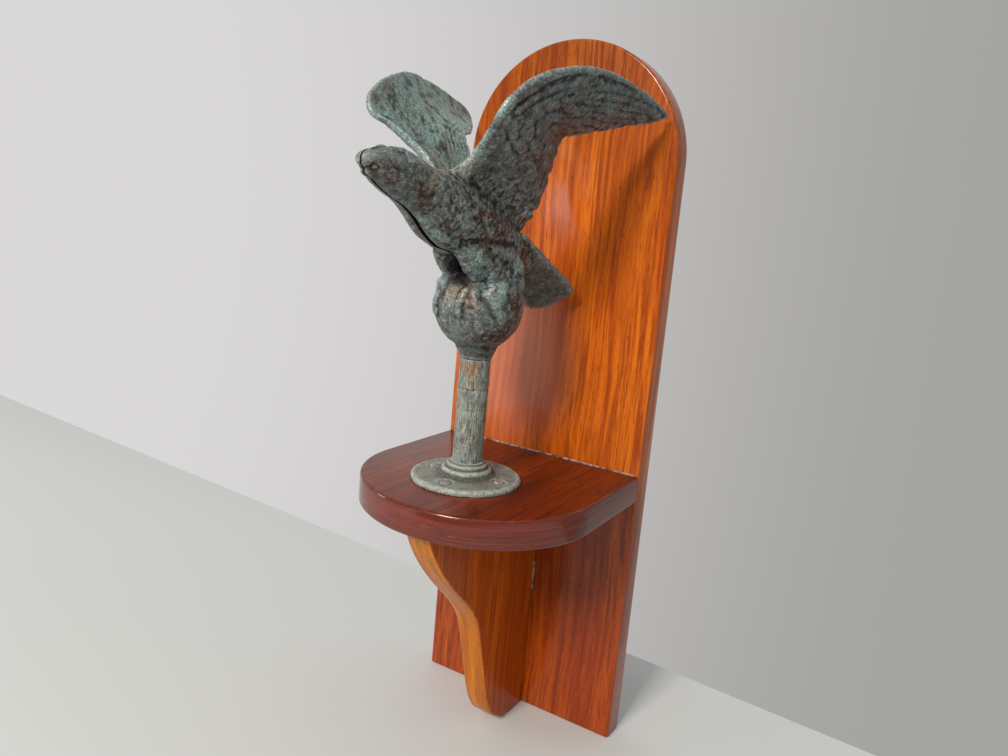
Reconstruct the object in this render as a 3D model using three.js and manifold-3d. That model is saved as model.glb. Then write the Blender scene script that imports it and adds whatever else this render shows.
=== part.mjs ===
import * as THREE from "three";
import { mergeVertices } from "three/addons/utils/BufferGeometryUtils.js";
import Module from "manifold-3d";

// A varnished wooden wall bracket that carries a cast copper-alloy eagle on a ball and post.
// Millimetres. Inside the group, x runs across the board, y = 0 is the wall and -y points
// into the room, and z = 0 is the foot of the board. The group is lowered at the end, so
// that the origin is on the back of the board at half its height.

// Driving dimensions of the wooden bracket
const BOARD = { width: 203, thickness: 25, straight: 524.5, arch: 101.5, ease: 2 };
const SHELF = { top: 254, thickness: 24, depth: 196, straight: 98, ease: 2.5 };
const CORBEL = { thickness: 23, x: -3, ease: 2 };
const GAP = 0.3;

// Driving dimensions of the metal foot: a round floor flange, its screws and the post
const POST = { x: -4.8, y: -139.5, radius: 12.4 };
const FLANGE = { radius: 45, thickness: 4.3, hub: 11.8 };
const SCREW = { count: 4, circle: 31, firstAngle: 2, head: 4.6, dome: 0.8, slot: 1.2 };

// Driving dimensions of the eagle: ball, seam between its two castings, skin of the wings
const BALL = { radius: 35, ahead: 2, z: 397, collarBottom: 355.5, collarTop: 364.5, collarRadius: 16.5 };
const SEAM = 0.25;
const WING = { frontEdge: 5.5, backEdge: 3, camber: 5, ribs: 30, strips: 8 };

const wasm = await Module();
wasm.setup();

const finish = (color, roughness, metalness) =>
  new THREE.MeshStandardMaterial({ color, roughness, metalness });
const boardWood = finish("#b4501c", 0.35, 0);
const shelfWood = finish("#6e2c1c", 0.35, 0);
const corbelWood = finish("#c0601f", 0.35, 0);
const eagleMetal = finish("#4d5a52", 0.6, 0.7);
const postMetal = finish("#7b8a80", 0.65, 0.6);
const screwMetal = finish("#6b5a44", 0.7, 0.6);

// A closed three.js geometry as a solid, with its faces turned outwards.
function solidOf(geometry) {
  const bare = geometry.clone();
  bare.deleteAttribute("normal");
  bare.deleteAttribute("uv");
  const merged = mergeVertices(bare, 1e-4);
  const vertProperties = new Float32Array(merged.attributes.position.array);
  const triVerts = new Uint32Array(merged.index.array);
  const made = new wasm.Manifold(new wasm.Mesh({ numProp: 3, vertProperties, triVerts }));
  if (made.volume() > 0) return made;
  for (let i = 0; i < triVerts.length; i += 3) {
    const second = triVerts[i + 1];
    triVerts[i + 1] = triVerts[i + 2];
    triVerts[i + 2] = second;
  }
  return new wasm.Manifold(new wasm.Mesh({ numProp: 3, vertProperties, triVerts }));
}

// A solid back as a three.js geometry.
function geometryOf(solid) {
  const mesh = solid.getMesh();
  const places = new Float32Array(mesh.numVert * 3);
  for (let i = 0; i < mesh.numVert; i++) {
    const start = i * mesh.numProp;
    places.set(mesh.vertProperties.subarray(start, start + 3), i * 3);
  }
  const geometry = new THREE.BufferGeometry();
  geometry.setAttribute("position", new THREE.BufferAttribute(places, 3));
  geometry.setIndex(new THREE.BufferAttribute(mesh.triVerts, 1));
  geometry.computeVertexNormals();
  return geometry;
}

function piece(name, geometry, material) {
  const made = new THREE.Mesh(geometry, material);
  made.name = name;
  return made;
}

// A block between two corners, used to trim pieces flat.
function block(low, high) {
  const size = high.clone().sub(low);
  const centre = high.clone().add(low).multiplyScalar(0.5);
  const box = new THREE.BoxGeometry(size.x, size.y, size.z);
  return solidOf(box.translate(centre.x, centre.y, centre.z));
}

// An outline cut from a plank, with both rims eased. The plank's faces are square to z.
function plank(outline, thickness, ease, curveSegments) {
  return new THREE.ExtrudeGeometry(outline, {
    depth: thickness - 2 * ease,
    bevelEnabled: true,
    bevelThickness: ease,
    bevelSize: ease,
    bevelOffset: -ease,
    bevelSegments: 2,
    curveSegments,
  }).translate(0, 0, ease);
}

// A closed skin over rings of equal count, with a flat cap at both ends.
function skin(rings) {
  const count = rings[0].length;
  const places = rings.flat().flatMap((p) => [p.x, p.y, p.z]);
  const faces = [];
  for (let k = 0; k + 1 < rings.length; k++) {
    for (let i = 0; i < count; i++) {
      const a = k * count + i;
      const b = k * count + ((i + 1) % count);
      faces.push(a, b, b + count, a, b + count, a + count);
    }
  }
  const last = (rings.length - 1) * count;
  for (let i = 1; i + 1 < count; i++) {
    faces.push(0, i + 1, i);
    faces.push(last, last + i, last + i + 1);
  }
  const geometry = new THREE.BufferGeometry();
  geometry.setAttribute("position", new THREE.Float32BufferAttribute(places, 3));
  geometry.setIndex(faces);
  return solidOf(geometry);
}

// A body turned from a profile of [radius, height] pairs that starts and ends on the axis.
function turned(profile, segments) {
  const points = profile.map(([radius, height]) => new THREE.Vector2(radius, height));
  return new THREE.LatheGeometry(points, segments).rotateX(Math.PI / 2);
}

// A smooth curve through rows of equal length, sampled evenly along the rows.
function smoothRows(rows, count) {
  const width = rows[0].length;
  const out = [];
  for (let i = 0; i <= count; i++) {
    const at = (i / count) * (rows.length - 1);
    const k = Math.min(Math.floor(at), rows.length - 2);
    const t = at - k;
    const row = [];
    for (let c = 0; c < width; c++) {
      const p1 = rows[k][c];
      const p2 = rows[k + 1][c];
      const p0 = k > 0 ? rows[k - 1][c] : 2 * p1 - p2;
      const p3 = k + 2 < rows.length ? rows[k + 2][c] : 2 * p2 - p1;
      const bend = (2 * p0 - 5 * p1 + 4 * p2 - p3) * t * t;
      const twist = (3 * p1 - p0 - 3 * p2 + p3) * t * t * t;
      row.push(0.5 * (2 * p1 + (p2 - p0) * t + bend + twist));
    }
    out.push(row);
  }
  return out;
}

// Backboard: straight sides and a round head.
function backboard() {
  const half = BOARD.width / 2;
  const outline = new THREE.Shape();
  outline.moveTo(-half, 0);
  outline.lineTo(half, 0);
  outline.lineTo(half, BOARD.straight);
  outline.absellipse(0, BOARD.straight, half, BOARD.arch, 0, Math.PI, false, 0);
  const wood = plank(outline, BOARD.thickness, BOARD.ease, 32);
  return piece("backboard", wood.rotateX(Math.PI / 2), boardWood);
}

// Shelf: as wide as the board, straight beside it and round in front.
function shelf() {
  const half = SHELF.depth - SHELF.straight;
  const side = BOARD.width / 2;
  const spare = 10;
  const outline = new THREE.Shape();
  outline.moveTo(-side, spare);
  outline.lineTo(-side, -SHELF.straight);
  outline.absellipse(0, -SHELF.straight, side, half, Math.PI, 2 * Math.PI, false, 0);
  outline.lineTo(side, spare);
  const wood = plank(outline, SHELF.thickness, SHELF.ease, 32);
  wood.translate(0, -BOARD.thickness, SHELF.top - SHELF.thickness);
  const low = new THREE.Vector3(-BOARD.width, -BOARD.thickness - GAP, 0);
  const high = new THREE.Vector3(BOARD.width, spare, 2 * SHELF.top);
  return piece("shelf", geometryOf(solidOf(wood).subtract(block(low, high))), shelfWood);
}

// Corbel: a plank on edge under the shelf. Its front swells out below the shelf, sinks into
// a cove, runs down straight and ends in a round nose level with the foot of the board.
function corbel() {
  const top = SHELF.top - SHELF.thickness;
  const spare = 10;
  const outline = new THREE.Shape();
  outline.moveTo(-spare, top + spare);
  outline.lineTo(185, top + spare);
  outline.lineTo(181, top);
  outline.bezierCurveTo(172, 203, 147, 176, 121, 152);
  outline.bezierCurveTo(107, 138, 97, 127, 92, 112);
  outline.lineTo(73, 50);
  outline.bezierCurveTo(65, 24, 54, 5, 28, 2);
  outline.lineTo(-spare, 0);
  const wood = plank(outline, CORBEL.thickness, CORBEL.ease, 14);
  wood.translate(0, 0, -CORBEL.thickness / 2);
  wood.rotateX(Math.PI / 2).rotateZ(-Math.PI / 2);
  wood.translate(CORBEL.x, -BOARD.thickness, 0);
  const low = new THREE.Vector3(-BOARD.width, -2 * SHELF.depth, -spare);
  const high = new THREE.Vector3(BOARD.width, -BOARD.thickness - GAP, top - GAP);
  return piece("corbel", geometryOf(solidOf(wood).intersect(block(low, high))), corbelWood);
}

// Floor flange: a round plate with a stepped hub round the post and four countersunk holes.
function floorFlange() {
  const plate = FLANGE.thickness;
  const hub = plate + FLANGE.hub;
  const profile = [
    [0, GAP],
    [FLANGE.radius, GAP],
    [FLANGE.radius, 2.2],
    [FLANGE.radius - 1.6, plate],
    [27, plate + 0.6],
    [21, plate + 3.2],
    [19, plate + 6.4],
    [17, plate + 7.4],
    [16.4, plate + 9.6],
    [14.6, plate + 10.4],
    [14, hub],
    [0, hub],
  ];
  let metal = solidOf(turned(profile, 64));
  const hole = [
    [0, -5],
    [SCREW.head - 1.4, -5],
    [SCREW.head - 1.4, 1],
    [SCREW.head + GAP, plate - 0.2],
    [SCREW.head + GAP, plate + 5],
    [0, plate + 5],
  ];
  for (const spot of screwSpots()) {
    metal = metal.subtract(solidOf(turned(hole, 20).translate(spot.x, spot.y, 0)));
  }
  const flange = piece("floor_flange", geometryOf(metal), postMetal);
  flange.position.set(0, 0, SHELF.top);
  return flange;
}

// Where the screws stand, round the post.
function screwSpots() {
  const spots = [];
  for (let i = 0; i < SCREW.count; i++) {
    const angle = THREE.MathUtils.degToRad(SCREW.firstAngle + (360 / SCREW.count) * i);
    spots.push(new THREE.Vector2(Math.cos(angle), Math.sin(angle)).multiplyScalar(SCREW.circle));
  }
  return spots;
}

// Flange screw: an oval countersunk head with a straight slot.
function flangeScrew(index, spot) {
  const seat = FLANGE.thickness - 0.2;
  const profile = [
    [0, GAP],
    [SCREW.head - 1.8, GAP],
    [SCREW.head - 1.8, 1],
    [SCREW.head - 0.2, seat],
    [SCREW.head * 0.6, seat + SCREW.dome * 0.7],
    [0, seat + SCREW.dome],
  ];
  const head = solidOf(turned(profile, 20));
  const reach = SCREW.head * 2;
  const slot = new THREE.BoxGeometry(reach, SCREW.slot, 2).translate(0, 0, seat + SCREW.dome);
  slot.rotateZ(0.7 + index * 1.1);
  const screw = piece(`flange_screw_${index}`, geometryOf(head.subtract(solidOf(slot))), screwMetal);
  screw.position.set(spot.x, spot.y, SHELF.top);
  return screw;
}

// Post: a round pipe between the hub of the flange and the socket under the ball.
function post() {
  const bottom = SHELF.top + FLANGE.thickness + FLANGE.hub + GAP;
  const length = BALL.collarBottom - GAP - bottom;
  const pipe = new THREE.CylinderGeometry(POST.radius, POST.radius, length, 40);
  pipe.rotateX(Math.PI / 2).translate(0, 0, bottom + length / 2);
  return piece("post", pipe, postMetal);
}

// The eagle's own measure: out from the seam (x), ahead of the post (f) and up (z).
const at = (out, ahead, up) => new THREE.Vector3(out, -ahead, up);

// The castings are not quite alike: the left wing ends lower and the left leg stands further back.
const RIGHT_SIDE = { wingDrop: 0, legBack: 0, legLength: 1 };
const LEFT_SIDE = { wingDrop: 6, legBack: 14, legLength: 0.88 };

// Body stations from beak to rump: ahead of the post, top, bottom and half width.
const BODY = [
  [150.5, 498, 493, 2.5],
  [148, 501, 489, 5.5],
  [141, 503, 485, 9],
  [133, 505.3, 480.5, 12],
  [120, 506.8, 474.5, 14.5],
  [107, 505, 469.5, 16.5],
  [94, 500.5, 462.5, 19],
  [80, 497, 452, 22],
  [66, 496, 444, 25],
  [50, 492, 440, 27],
  [26, 483, 434, 28],
  [2, 471, 428, 27.5],
  [-22, 458, 425, 25.5],
  [-44, 445, 419, 20],
];

// Tail stations: ahead of the post, height over the seam on top and below, edge height, half width.
const TAIL = [
  [-18, 456, 426, 454, 25],
  [-40, 446, 422, 443, 27],
  [-64, 428, 408, 430, 30],
  [-84, 411, 395, 418, 34.5],
  [-94, 405, 392, 410.5, 35],
];

// Wing ribs from the root to the tip: front edge (out, ahead, up), then back edge.
const RIBS = [
  [6, 60, 488, 14, -22, 458],
  [19, 60, 506, 26, -24, 472],
  [41, 71, 525, 34, -27, 497],
  [54, 82, 534, 41, -25, 520],
  [62, 76, 548, 45, -23.5, 531.5],
  [67, 54, 563, 48, -30, 534],
  [77, 18, 575, 52, -41.5, 537.4],
  [87, -20, 577, 61, -56, 542],
  [91, -57, 573.4, 75, -77, 549],
  [94.4, -91, 567.4, 88, -96, 555],
  [97, -106, 562, 96, -107, 559.5],
];

// Leg rings from the belly down to the ball: up, out, ahead, half width and half length.
const LEG = [
  [452, 18, 38, 12, 28],
  [443, 18, 30, 14, 30],
  [434, 18, 20, 14, 31],
  [426, 18, 11, 14, 29],
  [417, 19, 3, 13, 25],
  [408, 21, -3, 9, 18],
];

// Toes over the ball: where they start and end, as angles down from the top and round from ahead.
const TOES = [
  [38, 18, 84, 14],
  [42, 62, 88, 52],
  [46, 112, 92, 100],
  [48, 158, 84, 168],
];

function bodySolid() {
  const rings = BODY.map(([ahead, top, bottom, wide]) => {
    const middle = (top + bottom) / 2;
    const half = (top - bottom) / 2;
    const ring = [];
    for (let i = 0; i <= 14; i++) {
      const angle = -Math.PI / 2 + (Math.PI * i) / 14;
      ring.push(at(wide * Math.cos(angle), ahead, middle + half * Math.sin(angle)));
    }
    ring[0].x = 0;
    ring[14].x = 0;
    return ring;
  });
  return skin(rings);
}

function tailSolid() {
  const edge = 2.2;
  const bow = 11;
  const rings = smoothRows(TAIL, 8).map(([ahead, top, bottom, rim, wide], k) => {
    const hollow = k < 8 ? 0 : bow;
    return [
      at(0, ahead + hollow, bottom),
      at(wide * 0.5, ahead, (bottom + rim - edge) / 2 - 1),
      at(wide, ahead, rim - edge),
      at(wide, ahead, rim + edge),
      at(wide * 0.5, ahead, (top + rim + edge) / 2 + 1),
      at(0, ahead + hollow, top),
    ];
  });
  return skin(rings);
}

// The wing is a bent plate: thick and round along its front edge, thin along its back edge.
function wingSolid(drop) {
  const ribs = smoothRows(RIBS, WING.ribs).map((r) => [at(r[0], r[1], r[2]), at(r[3], r[4], r[5])]);
  const rings = ribs.map(([front, back], k) => {
    const along = k / WING.ribs;
    const before = ribs[Math.max(k - 1, 0)];
    const after = ribs[Math.min(k + 1, ribs.length - 1)];
    const span = after[0].clone().add(after[1]).sub(before[0]).sub(before[1]);
    const chord = back.clone().sub(front);
    const face = chord.clone().cross(span).normalize();
    const outer = [];
    const inner = [];
    for (let j = 0; j <= WING.strips; j++) {
      const u = j / WING.strips;
      const bulge = WING.camber * Math.sin(Math.PI * u) * Math.min(1, chord.length() / 60);
      const round = Math.min(1, 0.35 + 4 * u) * Math.min(1, 0.4 + 6 * (1 - u));
      const full = THREE.MathUtils.lerp(WING.frontEdge, WING.backEdge, u);
      const slim = (full * round * (1 - 0.35 * along)) / 2;
      const place = front.clone().addScaledVector(chord, u).addScaledVector(face, bulge);
      place.z -= drop * Math.max(0, along - 0.3);
      outer.push(place.clone().addScaledVector(face, slim));
      inner.unshift(place.clone().addScaledVector(face, -slim));
    }
    return outer.concat(inner);
  });
  return skin(rings);
}

function legSolid({ legBack, legLength }) {
  const rings = LEG.map(([up, out, ahead, wide, long]) => {
    const ring = [];
    for (let i = 0; i < 18; i++) {
      const angle = (2 * Math.PI * i) / 18;
      const reach = ahead - legBack + long * legLength * Math.sin(angle);
      ring.push(at(out + wide * Math.cos(angle), reach, up));
    }
    return ring;
  });
  return skin(rings);
}

// A toe is a tapering ridge that follows the ball from the foot to its claw.
function toeSolid([startDown, startRound, endDown, endRound]) {
  const steps = 7;
  const rings = [];
  for (let k = 0; k <= steps; k++) {
    const t = k / steps;
    const down = THREE.MathUtils.degToRad(THREE.MathUtils.lerp(startDown, endDown, t));
    const round = THREE.MathUtils.degToRad(THREE.MathUtils.lerp(startRound, endRound, t));
    const normal = at(Math.sin(down) * Math.sin(round), Math.sin(down) * Math.cos(round), Math.cos(down));
    const across = new THREE.Vector3(0, 0, 1).cross(normal).normalize();
    const size = THREE.MathUtils.lerp(4.6, 1.2, t) * (1 + 0.18 * Math.cos(9 * t));
    const centre = normal.clone().multiplyScalar(BALL.radius - 0.4).add(at(0, BALL.ahead, BALL.z));
    const ring = [];
    for (let i = 0; i < 10; i++) {
      const angle = (2 * Math.PI * i) / 10;
      const spot = centre.clone().addScaledVector(across, size * Math.cos(angle));
      spot.addScaledVector(normal, size * Math.sin(angle));
      ring.push(spot);
    }
    rings.push(ring);
  }
  return skin(rings);
}

// The ball, a little ahead of the socket that it stands on.
function ballSolid() {
  const socket = [
    [0, BALL.collarBottom],
    [POST.radius + 0.4, BALL.collarBottom],
    [BALL.collarRadius, BALL.collarTop],
    [BALL.collarRadius - 4, BALL.collarTop + 8],
    [0, BALL.collarTop + 8],
  ];
  const ball = new THREE.SphereGeometry(BALL.radius, 40, 24);
  ball.rotateX(Math.PI / 2).translate(0, -BALL.ahead, BALL.z);
  return solidOf(turned(socket, 40)).add(solidOf(ball));
}

// One casting of the eagle: half of body, ball and tail with its own wing and leg. It is
// made for the right side of the seam. The left casting is turned over to the other side.
function eagleHalf(side) {
  const keep = block(new THREE.Vector3(SEAM, -400, 0), new THREE.Vector3(200, 400, 800));
  let metal = bodySolid().add(tailSolid()).add(wingSolid(side.wingDrop)).add(legSolid(side));
  metal = metal.add(ballSolid());
  for (const toe of TOES) metal = metal.add(toeSolid(toe));
  return geometryOf(metal.intersect(keep));
}

const metalwork = new THREE.Group();
metalwork.position.set(POST.x, POST.y, 0);
metalwork.add(floorFlange(), post());
screwSpots().forEach((spot, i) => metalwork.add(flangeScrew(i + 1, spot)));
metalwork.add(piece("eagle_right_half", eagleHalf(RIGHT_SIDE), eagleMetal));
const leftHalf = piece("eagle_left_half", eagleHalf(LEFT_SIDE), eagleMetal);
leftHalf.scale.x = -1;
metalwork.add(leftHalf);

const bracket = new THREE.Group();
bracket.add(backboard(), shelf(), corbel(), metalwork);
bracket.position.z = -(BOARD.straight + BOARD.arch) / 2;

const figure = new THREE.Group();
figure.add(bracket);
export default figure;
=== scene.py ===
# %% [markdown]
# # Cast eagle on a wooden wall bracket
# A weathered copper-alloy eagle stands on a ball and a post. A round floor flange holds the
# post on the shelf of a varnished wooden bracket. The measured solids of the part are loaded
# first, as a fixed frame. Everything that is seen is then modelled around them, in metres,
# in the frame's own axes: x across the board, -y out into the room, z up.

# %% Open the fixed frame
import math

import bpy
import numpy as np
from mathutils import Matrix, Vector


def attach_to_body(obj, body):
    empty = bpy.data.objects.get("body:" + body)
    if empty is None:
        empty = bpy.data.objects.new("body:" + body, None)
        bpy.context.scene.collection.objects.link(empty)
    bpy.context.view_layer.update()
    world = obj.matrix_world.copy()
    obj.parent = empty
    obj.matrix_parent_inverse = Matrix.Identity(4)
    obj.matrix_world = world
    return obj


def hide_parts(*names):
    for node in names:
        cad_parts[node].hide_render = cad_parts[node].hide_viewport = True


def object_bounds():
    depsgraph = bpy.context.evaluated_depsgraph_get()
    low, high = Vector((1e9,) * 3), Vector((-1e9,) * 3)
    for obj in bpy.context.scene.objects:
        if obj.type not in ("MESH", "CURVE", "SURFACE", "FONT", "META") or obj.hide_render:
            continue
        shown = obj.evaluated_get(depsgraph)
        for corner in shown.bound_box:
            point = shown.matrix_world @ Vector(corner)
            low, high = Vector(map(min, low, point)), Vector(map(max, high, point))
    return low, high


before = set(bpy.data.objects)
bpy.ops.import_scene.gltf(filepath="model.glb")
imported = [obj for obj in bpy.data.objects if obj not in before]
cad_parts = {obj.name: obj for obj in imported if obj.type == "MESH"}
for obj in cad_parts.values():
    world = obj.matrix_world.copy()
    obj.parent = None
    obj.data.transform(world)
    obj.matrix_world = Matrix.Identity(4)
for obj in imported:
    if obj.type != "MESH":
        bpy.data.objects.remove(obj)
CAD_BOX = [[float(v) for v in corner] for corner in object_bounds()]
MM = 0.001
print("frame box", CAD_BOX)

# %% [markdown]
# ## Small helpers
# Colours are written as sRGB hex values and turned to the linear values that shaders use.
# One function adds a shader node with its settings and links. It serves every material. A
# second one lays a tone over another where a noise or a height passes a level, which is how
# every stain, streak and scratch here is made.


# %% Colours and shader nodes
def colour(text):
    """Linear RGBA of an sRGB hex colour."""
    parts = [int(text[i : i + 2], 16) / 255 for i in (1, 3, 5)]
    return [p / 12.92 if p <= 0.04045 else ((p + 0.055) / 1.055) ** 2.4 for p in parts] + [1.0]


def add_node(tree, kind, inputs=None, out=0, stops=None, **settings):
    """Adds a shader node and returns its output. Inputs are values, hex colours or outputs to
    link. Stops are (place, tone) along a colour ramp."""
    node = tree.nodes.new("ShaderNode" + kind)
    for name, value in settings.items():
        setattr(node, name, value)
    for key, value in (inputs or {}).items():
        if isinstance(value, bpy.types.NodeSocket):
            tree.links.new(value, node.inputs[key])
        else:
            node.inputs[key].default_value = colour(value) if isinstance(value, str) else value
    if stops:
        elements = node.color_ramp.elements
        while len(elements) < len(stops):
            elements.new(0.5)
        for element, (place, tone) in zip(elements, stops):
            element.position = place
            element.color = colour(tone) if isinstance(tone, str) else (tone, tone, tone, 1)
    return node.outputs[out] if node.outputs else node


def lay_tone(tree, under, tone, field, low, high, most=1.0, curve="LINEAR"):
    """Lays a tone over what is under it as the field's value passes from low to high."""
    span = {"Value": field, "From Min": low, "From Max": high, "To Max": most}
    share = add_node(tree, "MapRange", span, interpolation_type=curve)
    return add_node(tree, "Mix", {0: share, 6: under, 7: tone}, 2, data_type="RGBA")


# %% Starting and finishing a material
def new_material(name):
    """An empty node material, and its tree."""
    material = bpy.data.materials.new(name)
    material.use_nodes = True
    material.node_tree.nodes.clear()
    return material, material.node_tree


def finish_material(tree, surface):
    """Adds the surface shader with its inputs, and the output."""
    shader = add_node(tree, "BsdfPrincipled", surface)
    add_node(tree, "OutputMaterial", {"Surface": shader})


def patchy_finish(name, patch_mm, detail, stops, surface):
    """A plain finish whose tones change in soft patches of the given size."""
    material, tree = new_material(name)
    place = add_node(tree, "TexCoord", out="Object")
    scale = 1 / (patch_mm * MM)
    patches = add_node(tree, "TexNoise", {"Vector": place, "Scale": scale, "Detail": detail})
    tone = add_node(tree, "ValToRGB", {"Fac": patches}, stops=stops)
    finish_material(tree, {"Base Color": tone, **surface})
    return material


# %% Modelling helpers
def start_clean():
    """Leaves edit mode and deselects everything, the frame's own nodes included."""
    if bpy.context.object and bpy.context.object.mode != "OBJECT":
        bpy.ops.object.mode_set(mode="OBJECT")
    bpy.ops.object.select_all(action="DESELECT")


def take(piece):
    """Makes the piece the only one that operators act on."""
    start_clean()
    piece.select_set(True)
    bpy.context.view_layer.objects.active = piece


def apply_modifier(piece, kind, **settings):
    """Adds a modifier to the piece, sets it and applies it."""
    take(piece)
    modifier = piece.modifiers.new(kind.title(), kind)
    for name, value in settings.items():
        setattr(modifier, name, value)
    bpy.ops.object.modifier_apply(modifier=modifier.name)


def mesh_points(piece, what="co"):
    """Place or normal of every point of the mesh, as rows of x, y and z."""
    values = np.empty(len(piece.data.vertices) * 3)
    piece.data.vertices.foreach_get(what, values)
    return values.reshape(-1, 3)


def mesh_normals(piece):
    return mesh_points(piece, "normal")


def set_points(piece, points):
    piece.data.vertices.foreach_set("co", points.ravel())
    piece.data.update()


def settle(piece, name, angle=35):
    """Puts the piece's place in its mesh, names it and smooths its round faces."""
    take(piece)
    bpy.ops.object.transform_apply(location=True, rotation=True, scale=True)
    bpy.ops.object.mode_set(mode="EDIT")
    bpy.ops.mesh.select_all(action="SELECT")
    bpy.ops.mesh.remove_doubles(threshold=0.01 * MM)
    bpy.ops.mesh.normals_make_consistent(inside=False)
    bpy.ops.object.mode_set(mode="OBJECT")
    bpy.ops.object.shade_smooth_by_angle(angle=math.radians(angle))
    piece.name = name
    piece.data.name = name
    size = np.ptp(mesh_points(piece), axis=0) / MM
    print(name, len(piece.data.polygons), "faces,", np.round(size, 1), "mm")
    return piece


def attach(piece, finish, node=None):
    """Gives the piece its finish, fixes it to the part and hides the solid that it replaces."""
    piece.data.materials.append(finish)
    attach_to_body(piece, "root")
    if node:
        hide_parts(node)


def face_finish(piece, material, wanted):
    """Gives the faces for which wanted(centre, normal) is true a material of their own."""
    piece.data.materials.append(material)
    for face in piece.data.polygons:
        if wanted(face.center, face.normal):
            face.material_index = len(piece.data.materials) - 1


# %% [markdown]
# ## Camera
# The view is the photograph's: from the front right of the board, a little above the eagle,
# and tilted by a few degrees. The numbers come from a camera fitted to the board, the shelf
# and the flange. The three axes of the camera are worked out from its angles and put in its
# matrix, which is more exact than aiming it at a point.

# %% Camera
IMAGE_WIDTH, IMAGE_HEIGHT, OPTICAL_ROW = 1008, 756, 350
FOCAL_PIXELS, SENSOR_MM = 799.52, 36
AZIMUTH, ELEVATION, ROLL = 0.53212, 0.16317, 0.09003
CAMERA_PLACE = Vector((334.45, -672.26, 154.46)) * MM

camera_data = bpy.data.cameras.new("camera")
camera = bpy.data.objects.new("camera", camera_data)
bpy.context.scene.collection.objects.link(camera)
bpy.context.scene.camera = camera
camera_data.sensor_width = SENSOR_MM
camera_data.lens = FOCAL_PIXELS * SENSOR_MM / IMAGE_WIDTH
camera_data.shift_y = (OPTICAL_ROW - IMAGE_HEIGHT / 2) / IMAGE_WIDTH
camera_data.clip_start = 0.01
flat, rise = math.cos(ELEVATION), math.sin(ELEVATION)
back = Vector((math.sin(AZIMUTH) * flat, -math.cos(AZIMUTH) * flat, rise))
level = Vector((math.cos(AZIMUTH), math.sin(AZIMUTH), 0))
upright = back.cross(level)
right = math.cos(ROLL) * level + math.sin(ROLL) * upright
top = -math.sin(ROLL) * level + math.cos(ROLL) * upright
turned_to = Matrix((right, top, back)).transposed().to_4x4()
camera.matrix_world = Matrix.Translation(CAMERA_PLACE) @ turned_to
print("lens", round(camera_data.lens, 2), "mm")

# %% [markdown]
# ## Floor and light
# The bracket stands on a pale floor that ends behind it, where a pale wall begins. A second
# plane could be the wall, but it would hide the back of the bracket, so the wall is only the
# colour of the surroundings.

# %% Floor
# Its far edge lies 133 mm behind the board and runs askew, as the wall's foot does.
FLOOR_SIZE, FLOOR_FRONT = 8, -1.0
WALL_FOOT, WALL_SLANT = 133 * MM, 0.0575

start_clean()
bpy.ops.mesh.primitive_plane_add(size=FLOOR_SIZE, location=(0, 0, CAD_BOX[0][2]))
floor = bpy.context.object
bpy.ops.object.transform_apply(location=True, rotation=False, scale=False)
for corner in floor.data.vertices:
    corner.co.y = FLOOR_FRONT if corner.co.y < 0 else WALL_FOOT - WALL_SLANT * corner.co.x
floor.name = "floor"

# A rolled paint without gloss, whose two greys keep the floor from looking like a flat card.
floor_paint, tree = new_material("pale matt floor paint")
mottle = add_node(tree, "TexNoise", {"Scale": 3.0, "Detail": 2.0})
tone = add_node(tree, "ValToRGB", {"Fac": mottle}, stops=[(0.3, "#c8cac7"), (0.7, "#cfd1ce")])
finish_material(tree, {"Base Color": tone, "Roughness": 0.8})
floor.data.materials.append(floor_paint)
print("floor", FLOOR_SIZE, "m wide")

# %% Surroundings
# The varnish mirrors what is in front of the board: a dim room with a window low on the left.
# Light rays, mirror rays and the camera each see their own version of the room.
SOFT = "SMOOTHSTEP"
bpy.context.scene.view_settings.view_transform = "Standard"
world = bpy.data.worlds.new("studio")
bpy.context.scene.world = world
world.use_nodes = True
tree = world.node_tree
tree.nodes.clear()
where = add_node(tree, "TexCoord", out="Generated")
x_way, y_way, z_way = add_node(tree, "SeparateXYZ", {"Vector": where}).node.outputs
rays = add_node(tree, "LightPath").node.outputs

# The wall that the camera sees is painted shade: pale on the left and darker grey towards the right.
wall = lay_tone(tree, "#dad8d8", "#a5a4a2", x_way, -0.85, 0.0, curve=SOFT)
behind = lay_tone(tree, "#e0e0dd", "#7c7c7a", x_way, -0.7, 0.9, curve=SOFT)
ambient = lay_tone(tree, "#c9ccd0", "#b0b0b0", x_way, -0.6, 0.9, curve=SOFT)
room = lay_tone(tree, "#3f3f40", behind, y_way, -0.5, 0.3, curve=SOFT)
room = lay_tone(tree, room, "#d8d8d6", z_way, 0.25, 0.9, curve=SOFT)
pane = 1.0
for way, low, high in ((x_way, -0.42, -0.48), (z_way, -0.01, -0.08), (y_way, 0.0, -0.3)):
    span = {"Value": way, "From Min": low, "From Max": high, "To Max": pane}
    pane = add_node(tree, "MapRange", span, interpolation_type=SOFT)
room = lay_tone(tree, room, "#d9cfcc", pane, 0.0, 1.0)
room = lay_tone(tree, room, ambient, rays["Is Diffuse Ray"], 0.0, 1.0)
seen = lay_tone(tree, room, wall, rays["Is Camera Ray"], 0.0, 1.0)
# In the varnish's reflection the window is twice as bright.
bright = add_node(tree, "Math", {0: pane, 1: rays["Is Glossy Ray"], 2: 1.0}, operation="MULTIPLY_ADD")
glow = add_node(tree, "Background", {"Color": seen, "Strength": bright})
add_node(tree, "OutputWorld", {"Surface": glow})
print("surroundings", len(tree.nodes), "nodes")


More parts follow.
